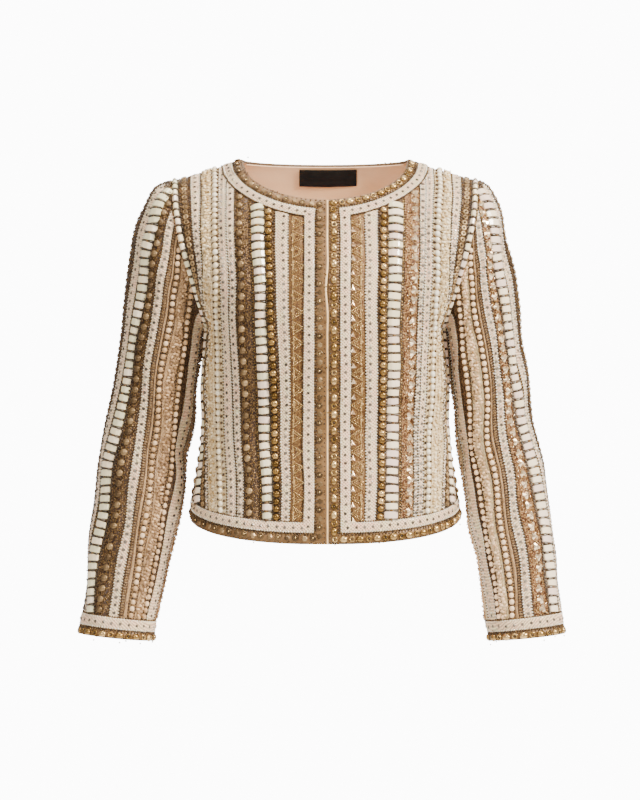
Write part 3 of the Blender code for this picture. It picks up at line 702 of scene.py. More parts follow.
sleeve = {
    "underSeam": 43.0,
    "capRows": 4,
    # outer z, outer edge right and left, inner z, inner edge right and left, depth, middle
    "rows": [
        (-27, 199, 199, -215, 153, 153, 62, 5), (-35, 219, 213, -222, 158, 158, 63, 5),
        (-57, 231, 225, -229, 160.5, 160, 63, 5), (-88, 244.5, 232, -240, 162, 161, 62, 5),
        (-130, 251.5, 241.5, -256, 163.5, 162.5, 60, 6), (-182, 259.5, 249, -275, 166, 164, 58, 7),
        (-236, 266, 255.5, -302, 169.5, 167, 56, 8), (-290, 272.5, 263.5, -330, 172, 170, 55, 8),
        (-332, 282, 267, -358, 175, 172, 54, 8), (-362, 288, 275, -383, 180, 172.5, 53, 6),
        (-400, 294, 283, -417, 183.5, 181, 52, 2), (-450, 297, 289.5, -466, 192, 187.5, 50, -5),
        (-500, 304, 296.5, -516, 203, 198.5, 47.5, -12),
        (-548, 308.5, 300.5, -562, 212.5, 205.5, 45.5, -19),
        (-584, 312.5, 303.5, -595, 220, 210.5, 44, -24),
        (-612, 315.5, 307, -621, 225, 215, 43.5, -28),
    ],
    # side, z, degrees round the sleeve, length, spread, depth
    "folds": [
        (right, -372, 35, 22, 40, 5.0), (right, -300, 320, 26, 45, 3.5),
        (left, -378, 30, 20, 45, 6.0), (left, -300, 320, 26, 45, 3.5),
    ],
}
cuffRow = len(sleeve["rows"]) - 2     # upper edge of the cuff trim


def sleevePoint(side, row, angle):
    turned = math.radians(angle)
    rise = (1 - math.cos(turned)) / 2
    if row == 0:
        tipZ, low = body["shoulderTip"][1], body["underarmZ"]
        y = body["sideY"] - body["armholeDepth"] * math.sin(turned)
        x = armholeX(rise) + body["seam"] * 1.2
        return side * x * mm, y * mm, blend(low, tipZ, rise) * mm
    outerZ, outerRight, outerLeft, innerZ, innerRight, innerLeft, depth, y = sleeve["rows"][row]
    outerX, innerX = (outerRight, innerRight) if side == right else (outerLeft, innerLeft)
    x = (outerX + innerX) / 2 - (outerX - innerX) / 2 * math.cos(turned)
    z = (outerZ + innerZ) / 2 - (outerZ - innerZ) / 2 * math.cos(turned)
    bow = armholeX(rise) - blend(body["chestHalf"], body["shoulderTip"][0], rise)
    x += bow * max(1 - row / sleeve["capRows"], 0.0)
    point = Vector((side * x, y - depth * math.sin(turned), z))
    dent = 0.0
    for foldSide, foldZ, foldAngle, length, spread, deep in sleeve["folds"]:
        if foldSide == side:
            away = (angle - foldAngle + 180) % 360 - 180
            dent += deep * math.exp(-(away / spread) ** 2 - ((z - foldZ) / length) ** 2)
    inward = (Vector((side * (outerX + innerX) / 2, y, z)) - point).normalized()
    return tuple((point + inward * dent) * mm)


def sleeveNet(side):
    across = np.linspace(-sleeve["underSeam"], 360 - sleeve["underSeam"], 85)
    last = len(sleeve["rows"]) - 1
    coarse = np.array([
        [sleevePoint(side, row, angle % 360) for angle in across] for row in range(last + 1)
    ])
    down, points = [], []
    for row in range(last):
        before, after = coarse[max(row - 1, 0)], coarse[min(row + 2, last)]
        low, high = coarse[row], coarse[row + 1]
        for t in np.arange(7) / 7:
            enter, leave = (high - before) / (2 if row else 1), (after - low) / 2
            points.append(ease(t, low, high, enter, leave))
            down.append(row + t)
    points.append(coarse[-1])
    down.append(last)
    middles = [[row.mean(axis=0)] * len(across) for row in points]
    return Net(across, down, points, middles)


nets["sleeve_right"] = sleeveNet(right)
nets["sleeve_left"] = sleeveNet(left)
for side in ("right", "left"):
    nets["sleeve_" + side].ripple(1.3, 1.2)


def buildSleeves():
    seam, gap, drawn = sleeve["underSeam"], 0.15, 0.9
    parts = (("top", seam, 360 - seam, 45), ("under", -seam, seam, 15))
    for side in ("right", "left"):
        net = nets["sleeve_" + side]
        for name, start, end, count in parts:
            u = np.linspace(start + gap, end - gap, count)
            # The cloth is drawn in along its two seams
            dip = -drawn * np.exp(-(np.minimum(u - start, end - u) / 2.5) ** 2)
            grid, v = np.meshgrid(u, net.down[::2])
            addCloth("{}_sleeve_{}".format(name, side), net, grid, v, dip[None, :])


buildSleeves()


# Small shapes, a unit from middle to edge, with x across a stripe and y along it

def takeShape(mesh):
    bmesh.ops.recalc_face_normals(mesh, faces=mesh.faces)
    bmesh.ops.triangulate(mesh, faces=mesh.faces)
    mesh.verts.index_update()
    spots = np.array([spot.co[:] for spot in mesh.verts])
    faces = np.array([[spot.index for spot in face.verts] for face in mesh.faces])
    mesh.free()
    return spots, faces


def cut(mesh, place, normal, **settings):
    everything = mesh.verts[:] + mesh.edges[:] + mesh.faces[:]
    bmesh.ops.bisect_plane(mesh, geom=everything, plane_co=place, plane_no=normal, **settings)


def bevel(mesh, offset):
    bmesh.ops.bevel(
        mesh, geom=mesh.edges, offset=offset, segments=1, affect="EDGES", profile=0.5, material=-1
    )


balls = {"seed": (5, 2), "tooth": (4, 2), "dome": (10, 4)}     # segments round and down
pebbles = {"petal": 1, "pearl": 2}                             # subdivisions
cones = {                                                      # segments, radii, height
    "triangle": (3, 1.2, 0.55, 1), "star": (10, 1, 0.3, 1), "bar": (5, 1, 1, 2),
    "sequin": (6, 1, 0.6, 0.6),
}
smoothShapes = (*balls, *pebbles, "ring", "bar")


def makeShape(kind):
    mesh = bmesh.new()
    if kind in balls:
        around, down = balls[kind]
        bmesh.ops.create_uvsphere(mesh, u_segments=around, v_segments=down, radius=1)
    elif kind in pebbles:
        bmesh.ops.create_icosphere(mesh, subdivisions=pebbles[kind], radius=1)
    elif kind in cones:
        segments, low, high, height = cones[kind]
        bmesh.ops.create_cone(
            mesh, cap_ends=True, segments=segments, radius1=low, radius2=high, depth=height
        )
    if kind == "dome":
        cut(mesh, (0, 0, -0.02), (0, 0, 1), clear_inner=True)
        bmesh.ops.holes_fill(mesh, edges=mesh.edges, sides=24)
    elif kind == "oblong":
        # A flat top between two sloping thirds
        bmesh.ops.create_cube(mesh, size=2)
        for x in (-0.42, 0.42):
            cut(mesh, (x, 0, 0), (1, 0, 0))
        for spot in mesh.verts:
            if spot.co.z > 0 and abs(spot.co.x) > 0.9:
                spot.co.z = 0.0
        bevel(mesh, 0.17)
    elif kind == "ring":
        quarterTurn = Matrix.Rotation(math.pi / 2, 3, "X")
        verts = bmesh.ops.create_circle(mesh, segments=5, radius=0.32)["verts"]
        bmesh.ops.rotate(mesh, verts=verts, cent=(0, 0, 0), matrix=quarterTurn)
        bmesh.ops.translate(mesh, verts=verts, vec=(0.68, 0, 0))
        bmesh.ops.spin(
            mesh, geom=mesh.edges, cent=(0, 0, 0), axis=(0, 0, 1), angle=2 * math.pi, steps=9,
            use_merge=True,
        )
    elif kind == "triangle":
        bevel(mesh, 0.08)
    elif kind == "star":
        for spot in mesh.verts:
            turn = math.atan2(spot.co.y, spot.co.x) / math.radians(36)
            if spot.co.z < 0 and round(turn) % 2:
                spot.co.xy *= 0.62
    elif kind == "bar":
        sideTurn = Matrix.Rotation(math.pi / 2, 3, "Y")
        bmesh.ops.rotate(mesh, verts=mesh.verts, cent=(0, 0, 0), matrix=sideTurn)
    return takeShape(mesh)


shapes = {kind: makeShape(kind) for kind in (*balls, *pebbles, *cones, "oblong", "ring")}
beads = {}
# Beads are paler on the wearer's left and darker on the right: partly their own tone, partly
# painted light and shade for the key lamp on the wearer's left
sideToneAndPaintedLight = {"sleeve_right": -0.22, "sleeve_left": 0.32, "front_right": -0.08, "front_left": 0.14}


def sew(piece, row, spot, halfWidth=None):
    # Sews one row of equal shapes to a piece, at places that follow() gave
    count = len(spot["place"])
    if not count:
        return
    sizeX, sizeY, sizeZ = row["size"]
    if "fit" in row:
        sizeX = row["fit"] * halfWidth
    loose = row.get("stray", (0.12, 0.12))
    for acrossShare, alongMm in row.get("at", [(0, 0)]):
        aside = luck.normal(0, loose[0], count) + (acrossShare * halfWidth if acrossShare else 0.0)
        ahead = luck.normal(0, loose[1], count) + alongMm
        place = spot["place"] + mm * (
            spot["across"] * aside[:, None] + spot["along"] * ahead[:, None]
            + spot["outward"] * row["lift"]
        )
        turn = luck.normal(0, row.get("twist", 0.04), count)
        cos, sin = np.cos(turn)[:, None], np.sin(turn)[:, None]
        x = spot["across"] * cos + spot["along"] * sin
        y = spot["along"] * cos - spot["across"] * sin
        size = np.stack([np.broadcast_to(half, count) for half in (sizeX, sizeY, sizeZ)], axis=1)
        size = size * (1 + luck.normal(0, 0.03, (count, 1))) * mm
        spread, middle = row.get("tones", 0.6), row.get("tone", 0.33)
        # Painted light and shade by side, on all but the dark beads: each piece's shift moves the
        # tone
        if row["finish"] != "dark":
            middle += sideToneAndPaintedLight.get(piece, 0.0)
        tone = luck.uniform(middle - spread / 2, middle + spread / 2, count)
        key = (piece, row["finish"], row.get("slot", "beaded_cloth"))
        beads.setdefault(key, []).append((row["shape"], place, x, y, spot["outward"], size, tone))


def buildBeads():
    total = 0
    for (piece, finishName, slot), batches in beads.items():
        spots, faces, tones, smooth, count = [], [], [], [], 0
        for shape, place, x, y, z, size, tone in batches:
            shapeSpots, shapeFaces = shapes[shape]
            local = shapeSpots[None] * size[:, None]
            world = place[:, None] + local[..., :1] * x[:, None] + local[..., 1:2] * y[:, None]
            world += local[..., 2:] * z[:, None]
            many, each = world.shape[:2]
            starts = count + np.arange(many) * each
            faces.append((shapeFaces[None] + starts[:, None, None]).reshape(-1, 3))
            spots.append(world.reshape(-1, 3))
            tones.append(np.repeat(tone, each))
            smooth.append(np.full(many * len(shapeFaces), shape in smoothShapes))
            count += many * each
        faces = np.concatenate(faces)
        data = bpy.data.meshes.new(piece + "_" + finishName)
        data.vertices.add(count)
        data.vertices.foreach_set("co", np.concatenate(spots).astype(np.float32).ravel())
        data.loops.add(faces.size)
        data.loops.foreach_set("vertex_index", faces.astype(np.int32).ravel())
        data.polygons.add(len(faces))
        data.polygons.foreach_set("loop_start", np.arange(0, faces.size, 3, dtype=np.int32))
        data.polygons.foreach_set("use_smooth", np.concatenate(smooth))
        tone = data.attributes.new("tone", "FLOAT", "POINT")
        tone.data.foreach_set("value", np.concatenate(tones).astype(np.float32))
        data.update(calc_edges=True)
        data.validate()
        showPiece(data.name + "_beads", data, [finishName])
        total += len(faces)
        print(data.name, len(faces))
    print("bead triangles:", total)


# Stripes: a ribbon of ground cloth, and rows of beads on it. A row's line is -1 at the stripe's
# inner edge and 1 at its outer edge, pitch and sizes are millimetres, and sizes are halves.

# The same pieces are the shaded side: on the others some stripes get a paler ground, partly its own
# colour, partly painted light for the key lamp's side
dullShadedPieces = ("front_right", "sleeve_right")      # the pieces with dull stones in their bronze stripes
triangles, triangleHalf = 19.5, 8.4         # the triangles' pitch, and half their length


def beadRow(look, line, pitch, size, lift, **more):
    finishName, shape = look.split()
    row = {"finish": finishName, "shape": shape, "line": line}
    return dict(row, pitch=pitch, size=size, lift=lift, **more)


def edging(finishName, *edges, **more):
    # Small beads along a stripe's edges. The dark ones sit between the others.
    dark = finishName == "dark"
    size = (1.7, 1.5, 1.3) if dark else (1.6, 1.5, 1.2)
    row = beadRow(finishName + " tooth", 0, 3.8, size, 0.4, start=0.0 if dark else 0.5)
    return [dict(row, line=line, **more) for line in edges]


def petals(finishName, inner, outer):
    rows = ((inner, 4.4, 1.9, 0.5), (outer, 4.4, 1.9, 0.0), (0.0, 7.0, 2.6, 0.5))
    return [
        beadRow(finishName + " petal", line, pitch, (2.9, 1.7, 1.6), lift, start=start,
                stray=(1.2, 0.6), twist=0.6, tones=0.9)
        for line, pitch, lift, start in rows
    ]


def nested(scale):
    # Beads round a triangle with its point towards the inner edge and its base at the outer one
    count = max(int(7 * scale), 2)
    base = 0.86 - (1 - scale) * 0.3
    half = triangleHalf * scale
    arm = [
        (blend(base, base - 1.5 * scale, step / count), half * (1 - step / count))
        for step in range(count + 1)
    ]
    close = [(base, half * (2 * step / (count + 2) - 1)) for step in range(1, count + 2)]
    return arm + [(share, -along) for share, along in arm[:-1]] + close


def stripe(ground, rise, rows, margin=0.0, **more):
    return dict(ground=ground, rise=rise, margin=margin, rows=rows, **more)


stripes = {
    "braid": stripe("braid", 1.4, [
        *edging("ivory", -0.95, 0.95), *edging("dark", -1.14, 1.14),
        beadRow("smoke sequin", 0, 10.3, (2.5, 2.5, 1.3), 1.5, stray=(0.3, 0.3)),
        beadRow("ivory seed", 0, 10.3, (1.2, 1.2, 1.1), 1.6, start=0.0, stray=(1.6, 1.0)),
        beadRow("smoke tooth", 0, 7.1, (0.9, 0.7, 0.8), 1.5, stray=(3.0, 1.5), tone=0.8),
    ], margin=1.1),
    "triangles": stripe("goldGround", 0.8, [
        beadRow("gold seed", 0, triangles, (1.15, 1.15, 1.2), 1.2, at=nested(1.0), tone=0.95,
                tones=0.2, stray=(0.05, 0.05)),
        beadRow("gold seed", 0, triangles, (1.0, 1.0, 1.1), 1.1, at=nested(0.58), tone=0.75,
                tones=0.2, stray=(0.05, 0.05)),
        beadRow("gold seed", 0.55, triangles, (1.7, 2.0, 1.2), 1.0, tone=0.8),
        beadRow("copper triangle", -0.3, triangles, (4.6, 4.8, 2.2), 1.8, twist=0.08, start=0.0,
                tone=0.5, on=("front_left",)),
        *edging("dark", -1.0, 1.0, size=(1.1, 1.2, 1.0)),
    ], margin=0.6),
    "chain": stripe("bronzeGround", 0.6, [
        beadRow("gold pearl", 0.05, 9.6, (4.4, 4.5, 3.8), 1.6, tone=0.3),
        beadRow("dark seed", -0.72, 9.6, (2.1, 2.4, 1.8), 0.7, start=0.0),
        beadRow("dark seed", 0.72, 9.6, (1.9, 2.1, 1.7), 0.7, start=0.0),
        *edging("dark", -0.98), *edging("gold", 0.98, size=(1.1, 1.3, 1.1)),
    ], margin=0.4),
    "oblong": stripe("tulle", 0.3, [
        beadRow("stone oblong", 0, 11.2, (1, 4.1, 3.0), 1.2, fit=0.8, twist=0.05, tones=1.0),
        beadRow("dark seed", 0, 11.2, (3.1, 2.6, 1.9), 3.1, start=0.0, stray=(0.7, 0.2)),
        beadRow("smoke bar", 0, 11.2, (1, 1.1, 1.0), 2.2, fit=0.8, start=0.0, tones=0.9, tone=0.2),
        *edging("smoke", -0.92, tone=0.2), *edging("gold", 0.92),
    ]),
    "bronze": stripe("bronzeGround", 1.0, [
        beadRow("copper star", 0.15, 13.7, (5.4, 5.6, 3.2), 2.8, twist=0.6, stray=(0.5, 0.5),
                tone=0.8, tones=0.5, off=dullShadedPieces),
        beadRow("copper seed", 0, 5.4, (1.5, 1.5, 1.3), 1.4, stray=(4.6, 1.5), tone=0.9,
                tones=0.4, off=dullShadedPieces),
        beadRow("bronze dome", 0.1, 13.7, (4.9, 4.7, 2.8), 1.2, twist=0.4, tone=0.42, tones=0.5,
                on=dullShadedPieces),
        beadRow("gold seed", 0, 4.6, (1.2, 1.2, 1.1), 1.2, stray=(4.2, 1.0), tone=0.1, tones=0.5),
        beadRow("dark seed", 0, 4.0, (1.2, 1.2, 1.1), 1.3, stray=(4.2, 2.0)),
        *edging("dark", -0.99, 0.99),
    ], margin=0.4, bright="copperGround"),
    "pearls": stripe("tuftSatin", 0.4, [
        beadRow("pearl pearl", 0, 8.4, (3.6, 3.9, 3.2), 1.6),
        beadRow("dark seed", -0.72, 8.4, (2.6, 2.2, 2.0), 1.4, start=0.0),
        beadRow("dark seed", 0.7, 8.4, (2.4, 1.9, 1.8), 1.3, start=0.0),
        *edging("dark", -1.0, size=(1.1, 1.1, 1.0)),
    ]),
    "brownPearls": stripe("tanSatin", 0.4, [
        beadRow("tan pearl", 0.1, 8.6, (3.2, 3.5, 3.0), 1.5, tone=0.6, tones=0.5),
        beadRow("dark seed", 0.05, 8.6, (3.0, 1.7, 1.7), 1.4, start=0.0),
        beadRow("dark seed", -0.6, 8.6, (1.5, 1.5, 1.4), 1.2),
        *edging("dark", -0.95, 0.95, size=(1.5, 1.3, 1.2)),
    ]),
    "tufts": stripe("tuftSatin", 1.6, [
        *petals("cream", -0.5, 0.35),
        *edging("dark", 0.97, pitch=5.5, size=(1.2, 1.2, 1.1), stray=(0.6, 1.0)),
        beadRow("dark seed", 0, 7.0, (1.1, 1.2, 1.1), 3.6, stray=(4.0, 2.0)),
    ], puffs=19.0),
    # On the lit side the tan tufts get the paler cream satin instead: the difference is partly the
    # satins' own colours, partly painted light and shade
    "tanTufts": stripe("tanSatin", 1.6, [
        *petals("tan", -0.45, 0.3),
        beadRow("dark seed", -0.85, 3.6, (1.4, 1.6, 1.3), 1.8, stray=(1.4, 1.2)),
        beadRow("dark seed", 0, 12.0, (1.1, 1.2, 1.1), 3.6, stray=(3.4, 2.0)),
    ], puffs=19.0, bright="tuftSatin"),
    "darkBand": stripe("bronzeGround", 0.8, [
        beadRow("dark tooth", line, 4.2, (1.6, 1.8, 1.6), 1.3, stray=(0.6, 0.8), start=start)
        for line, start in ((-0.9, 0.0), (-0.55, 0.5), (-0.2, 0.0), (0.85, 0.5))
    ] + [
        beadRow("bronze dome", 0.35, 9.0, (3.6, 3.4, 2.4), 1.0, tone=0.3),
        beadRow("dark seed", 0.35, 9.0, (3.0, 1.8, 1.8), 1.2, start=0.0),
        beadRow("dark seed", 0.6, 3.4, (1.5, 1.5, 1.5), 1.2, stray=(0.8, 0.8)),
    ]),
    "seedRows": stripe("tanSatin", 0.6, [
        *edging("dark", -0.5, pitch=3.4, size=(1.5, 1.5, 1.3), lift=0.8),
        *edging("dark", 0.6, pitch=3.4, size=(1.5, 1.5, 1.3), lift=0.6),
    ]),
    "cord": stripe("tanSatin", 1.2, edging("dark", -1.0, size=(0.9, 1.2, 0.9))),
    "rings": stripe("bronzeGround", 0.6, [
        beadRow("bronze ring", 0, 7.8, (3.8, 3.8, 2.6), 1.3, tone=0.5),
        beadRow("dark seed", 0, 7.8, (1.6, 1.6, 1.4), 1.1),
        *edging("dark", -0.92, 0.92),
    ]),
}


def bodyEdge(net, sign, column, v):
    # A stripe's line on the body: a constant, or its place at chest level and at hem level
    if not isinstance(column, tuple):
        return np.full(len(v), float(sign * column))
    nearSide = 21.5
    z = net.read(net.points, sign * nearSide, v)[:, 2] / mm
    return sign * blend(column[0], column[1], (z - chestLevel) / (hemLevel - chestLevel))


def sleeveEdge(number, v):
    rows = [(row[0], row[1 + number]) for row in sleeveEdges]
    return np.array([readRow(rows, spot)[0] for spot in v])


def dress(piece, net, kind, v, low, high):
    # Sews one stripe to a piece, between two lines of its net
    stripe = stripes[kind]
    width = np.linalg.norm(net.lift(high, v, 0.0) - net.lift(low, v, 0.0), axis=1) / mm
    margin = np.clip(stripe["margin"] / width, 0, 0.3)
    low, high = blend(low, high, margin), blend(high, low, margin)
    # The ribbon
    shares = np.linspace(0, 1, 5)
    bulge = np.clip(np.sin(shares * math.pi), 0, None) ** 0.6
    grid, down = low[:, None] + (high - low)[:, None] * shares[None], v[:, None]
    tall = stripe["rise"] * bulge[None] * np.ones((len(v), 1))
    points = net.lift(grid, down, 0.0)
    steps = np.linalg.norm(np.diff(points[:, 2], axis=0), axis=1)
    far = np.concatenate([[0], np.cumsum(steps)]) / mm
    if "puffs" in stripe:
        # Puffs along the stripe, and finer gathers that run slantwise across it
        wave = np.sin(far / stripe["puffs"] * 2 * math.pi) * 0.25
        slant = far[:, None] / 2.2 + shares[None] * 4 + np.sin(far / 9)[:, None] * 2
        tall = tall * (0.75 + wave[:, None] + 0.3 * np.sin(slant))
    # Painted light: off the shaded pieces a stripe takes its paler ground, which is partly that
    # ground's own colour
    bright = "bright" in stripe and piece not in dullShadedPieces
    mesh = grounds.setdefault((piece, stripe["bright" if bright else "ground"]), bmesh.new())
    over, under = 0.25, -0.3
    addWall(
        mesh, net.lift(grid, down, tall + over), net.lift(grid, down, under),
        net.read(net.flat, grid, down),
    )
    width = np.linalg.norm(points[:, -1] - points[:, 0], axis=1) / mm
    # Across points outwards from the middle on every side
    outwards = (net.read(net.points, high, v) - net.read(net.points, low, v)).mean(axis=0)
    for row in stripe["rows"]:
        if piece not in row.get("on", (piece,)) or piece in row.get("off", ()):
            continue
        line = blend(low, high, (row["line"] + 1) / 2)
        spot = follow(net, line, v, row["pitch"], over, row.get("start", 0.5))
        if np.sum(outwards * spot["across"].mean(axis=0)) < 0:
            spot["across"] = -spot["across"]
            spot["along"] = -spot["along"]
        sew(piece, row, spot, np.interp(spot["v"], v, width) / 2)


grounds = {}
bodyDown = np.linspace(-0.9, 0.995, 84)
bodyStripes = [
    ("triangles", 1.05, 3.35), ("braid", 3.5, 5.05), ("chain", 5.15, 7.1), ("oblong", 7.3, 9.6),
    ("bronze", 10.2, 13.0), ("braid", 13.1, 14.1), ("braid", 14.15, 15.5), ("pearls", 15.6, 17.9),
    ("tufts", 18.0, 20.0),
    ("braid", (20.06, 20.0), (20.82, 20.28)), ("rings", (20.9, 20.32), (21.85, 20.82)),
    ("oblong", (21.95, 20.88), (23.0, 21.6)), ("braid", (23.1, 21.68), (23.9, 22.2)),
    ("bronze", (24.0, 22.28), (24.9, 22.95)),
]
# Down the middle of the back, out of the photo's sight: the same kinds
backStripes = [("braid", 0.26, 0.56), ("pearls", 0.6, 1.0)]
# Stripes round the sleeve from the under seam outwards, and their edges in degrees: the net's
# row, then the inner edge of the first stripe, and the outer edge of each
sleeveStripes = [
    "brownPearls", "tanTufts", "brownPearls", "cord", "seedRows", "braid", "bronze", "oblong",
    "braid", "darkBand",
]
sleeveEdges = [
    (0, 55, 69.5, 89.5, 99.5, 105.5, 112, 128, 145, 159, 177, 190),
    (1, 49.5, 61.5, 76.5, 86.5, 91.5, 97, 112, 130, 148, 167, 189),
    (2, 47, 57.5, 73, 83, 87.5, 93.5, 106, 122.5, 143, 162, 188),
    (4, 46.5, 56.5, 72, 82, 86.5, 91.5, 105, 118.5, 137, 154, 187),
    (6, 48, 58, 78, 87.5, 91.5, 96.5, 108.5, 122.5, 141, 159, 187),
    (8.5, 43.8, 51.5, 70.5, 81, 85.5, 91, 105, 122.8, 147.8, 165, 188),
    (11, 44.3, 51.5, 67.5, 80, 85, 90, 103.8, 129.8, 159.8, 175, 190),
    (14, 43.8, 47.5, 63.5, 74.5, 81.5, 87.5, 104.8, 130.8, 157.8, 174, 190),
]
# Behind the sleeve and under the arm, out of the photo's sight: the same kinds, straight
plainStripes = [
    ("triangles", 191.0, 211.0), ("braid", 212.0, 230.0), ("chain", 231.5, 246.0),
    ("bronze", 247.0, 261.0), ("pearls", 262.0, 276.0), ("tanTufts", 277.0, 300.0),
    ("braid", 301.0, 315.5), ("braid", 14.0, 39.0), ("tanTufts", -12.5, 12.5),
    ("braid", -39.0, -14.0),
]


def dressBody(piece, net, sign):
    for kind, start, end in bodyStripes:
        v = bodyDown
        low, high = bodyEdge(net, sign, start, v), bodyEdge(net, sign, end, v)
        if isinstance(start, tuple):
            kept = np.abs(low) < sideLine - 0.25
            v, low = v[kept], low[kept]
            high = sign * np.minimum(np.abs(high[kept]), sideLine - 0.05)
        if len(v) > 3:
            dress(piece, net, kind, v, low, high)


def dressStraight(piece, kind, v, start, end):
    dress(piece, nets[piece], kind, v, np.full(len(v), start), np.full(len(v), end))


def buildStripes():
    for side in ("right", "left"):
        dressBody("front_" + side, nets["front_" + side], 1)
    for sign in (right, left):
        dressBody("back", nets["back"], sign)
        for kind, start, end in backStripes:
            dressStraight("back", kind, bodyDown, sign * start, sign * end)
    dressStraight("back", "bronze", bodyDown, -0.24, 0.24)
    v, gap = np.linspace(0.05, cuffRow, 100), 0.6
    tuft = beadRow("dark seed", 0, 2.6, (1.7, 1.7, 1.5), 2.2, stray=(1.5, 1.0))
    for side in ("right", "left"):
        name = "sleeve_" + side
        net = nets[name]
        for number, kind in enumerate(sleeveStripes):
            low, high = sleeveEdge(number, v) + gap, sleeveEdge(number + 1, v) - gap
            dress(name, net, kind, v, low, high)
        for kind, start, end in plainStripes:
            dressStraight(name, kind, v, start, end)
        # Dark beads crowd the top of the armhole seam
        for row in (0.12, 0.3):
            sew(name, tuft, follow(net, np.linspace(140, 215, 40), np.full(40, row), tuft["pitch"]))
    for (piece, ground), mesh in grounds.items():
        addPiece("{}_{}_ribbons".format(piece, ground), mesh, [ground])


buildStripes()
print("stripes sewn")


# Trims: a row's line is its distance from the finished edge, in millimetres

trim = {
    "steps": np.array([0, 0.8, 3, 6.5, 10, 12.3, 13, 14.6, 15.2, 17, 21, 25, 26.8, 27.4, 28.5]),
    "border": 13.0, "braid": (14.6, 27.4), "gap": 0.5,
    "rows": [
        beadRow("dark tooth", 13.6, 3.4, (2.0, 1.5, 1.4), 1.8),
        beadRow("ivory tooth", 15.6, 3.4, (1.5, 1.5, 1.2), 2.2, start=0.0),
        beadRow("smoke sequin", 21.0, 10.6, (2.2, 2.2, 1.3), 3.3, stray=(0.3, 0.3)),
        beadRow("ivory tooth", 26.4, 3.4, (1.5, 1.5, 1.2), 1.9),
        beadRow("dark tooth", 28.2, 3.4, (1.8, 1.5, 1.3), 1.3, start=0.0),
    ],
    "ovals": [
        beadRow("gold dome", 6.4, 21.5, (4.6, 6.0, 3.2), 2.6, tone=0.5, tones=0.5),
        beadRow("gold ring", 6.4, 21.5, (4.4, 4.4, 2.8), 3.0, start=0.0, tone=0.3),
        beadRow("dark seed", 6.4, 21.5, (1.9, 1.9, 1.5), 3.0, start=0.0),
        beadRow("dark seed", 11.6, 4.3, (1.3, 1.4, 1.1), 2.5),
        beadRow("dark seed", 1.6, 4.3, (1.2, 1.4, 1.0), 2.2),
        beadRow("gold seed", 6.4, 4.3, (1.2, 1.2, 1.1), 2.5, stray=(4.0, 1.0)),
    ],
    "rings": [
        beadRow("bronze ring", 8.0, 22.0, (4.4, 4.4, 3.0), 3.0, tone=0.05, tones=0.3),
        beadRow("gold seed", 8.0, 22.0, (2.0, 2.0, 2.0), 3.0, tone=0.95, tones=0.2),
        beadRow("bronze sequin", 7.4, 22.0, (3.8, 3.8, 2.0), 2.9, start=0.0, tone=0.3),
        beadRow("dark seed", 5.5, 7.3, (1.1, 1.1, 1.0), 2.8, stray=(3.5, 1.5)),
        beadRow("dark seed", 11.6, 4.0, (1.3, 1.4, 1.1), 2.4),
        beadRow("dark seed", 1.8, 6.0, (1.0, 1.2, 0.9), 2.2),
    ],
}


def trimHeight(inset):
    low, high = trim["braid"]
    border = 1.7 + 0.7 * np.sin(np.clip(inset / trim["border"], 0, 1) * math.pi)
    braid = 1.6 + 1.5 * np.sin(np.clip((inset - low) / (high - low), 0, 1) * math.pi) ** 0.6
    height = np.where(inset < trim["border"], border, np.where(inset < low, 1.2, braid))
    return np.where(inset > high, 1.0, height)


def buildTrim(name, net, u, v, inset=None, closed=False):
    # u across and v along the net; inset is each place's distance from the finished edge
    if inset is None:
        inset = np.repeat(trim["steps"][:, None], len(u), 1)
    grid, rows = np.meshgrid(u, v)
    top = net.lift(grid, rows, trimHeight(inset) + trim["gap"])
    bottom = net.lift(grid, rows, trim["gap"])
    middle = (inset[1:, 1:] + inset[1:, :-1] + inset[:-1, 1:] + inset[:-1, :-1]) / 4
    low, high = trim["braid"]
    onBraid = (middle > low) & (middle < high)
    paint = np.where(middle < trim["border"], 0, np.where(onBraid, 1, 2))
    mesh = addWall(
        bmesh.new(), top, bottom, net.read(net.flat, grid, rows),
        paint=lambda row, column: int(paint[row, column]), closed=closed,
    )
    addPiece(name + "_ribbon", mesh, ["borderSatin", "braid", "bronzeGround"], [name])


def trimBeads(piece, net, path, border="ovals"):
    for row in trim["rows"] + trim[border]:
        u, v = path(row["line"] / body["trimWidth"])
        spot = follow(net, u, v, row["pitch"], trim["gap"], row.get("start", 0.5))
        sew(piece, dict(row, slot="bead_trim"), spot)


def frontPath(share):
    # Along the hem, up the front edge and round the neck, a share of the trim's width inside
    low, high = -1 + share / 10, 2 - share
    u = [np.linspace(sideLine, share, 160), np.full(200, share), np.linspace(share, neckLine, 120)]
    v = [np.full(160, low), np.linspace(low, high, 200), np.full(120, high)]
    return np.concatenate(u), np.concatenate(v)


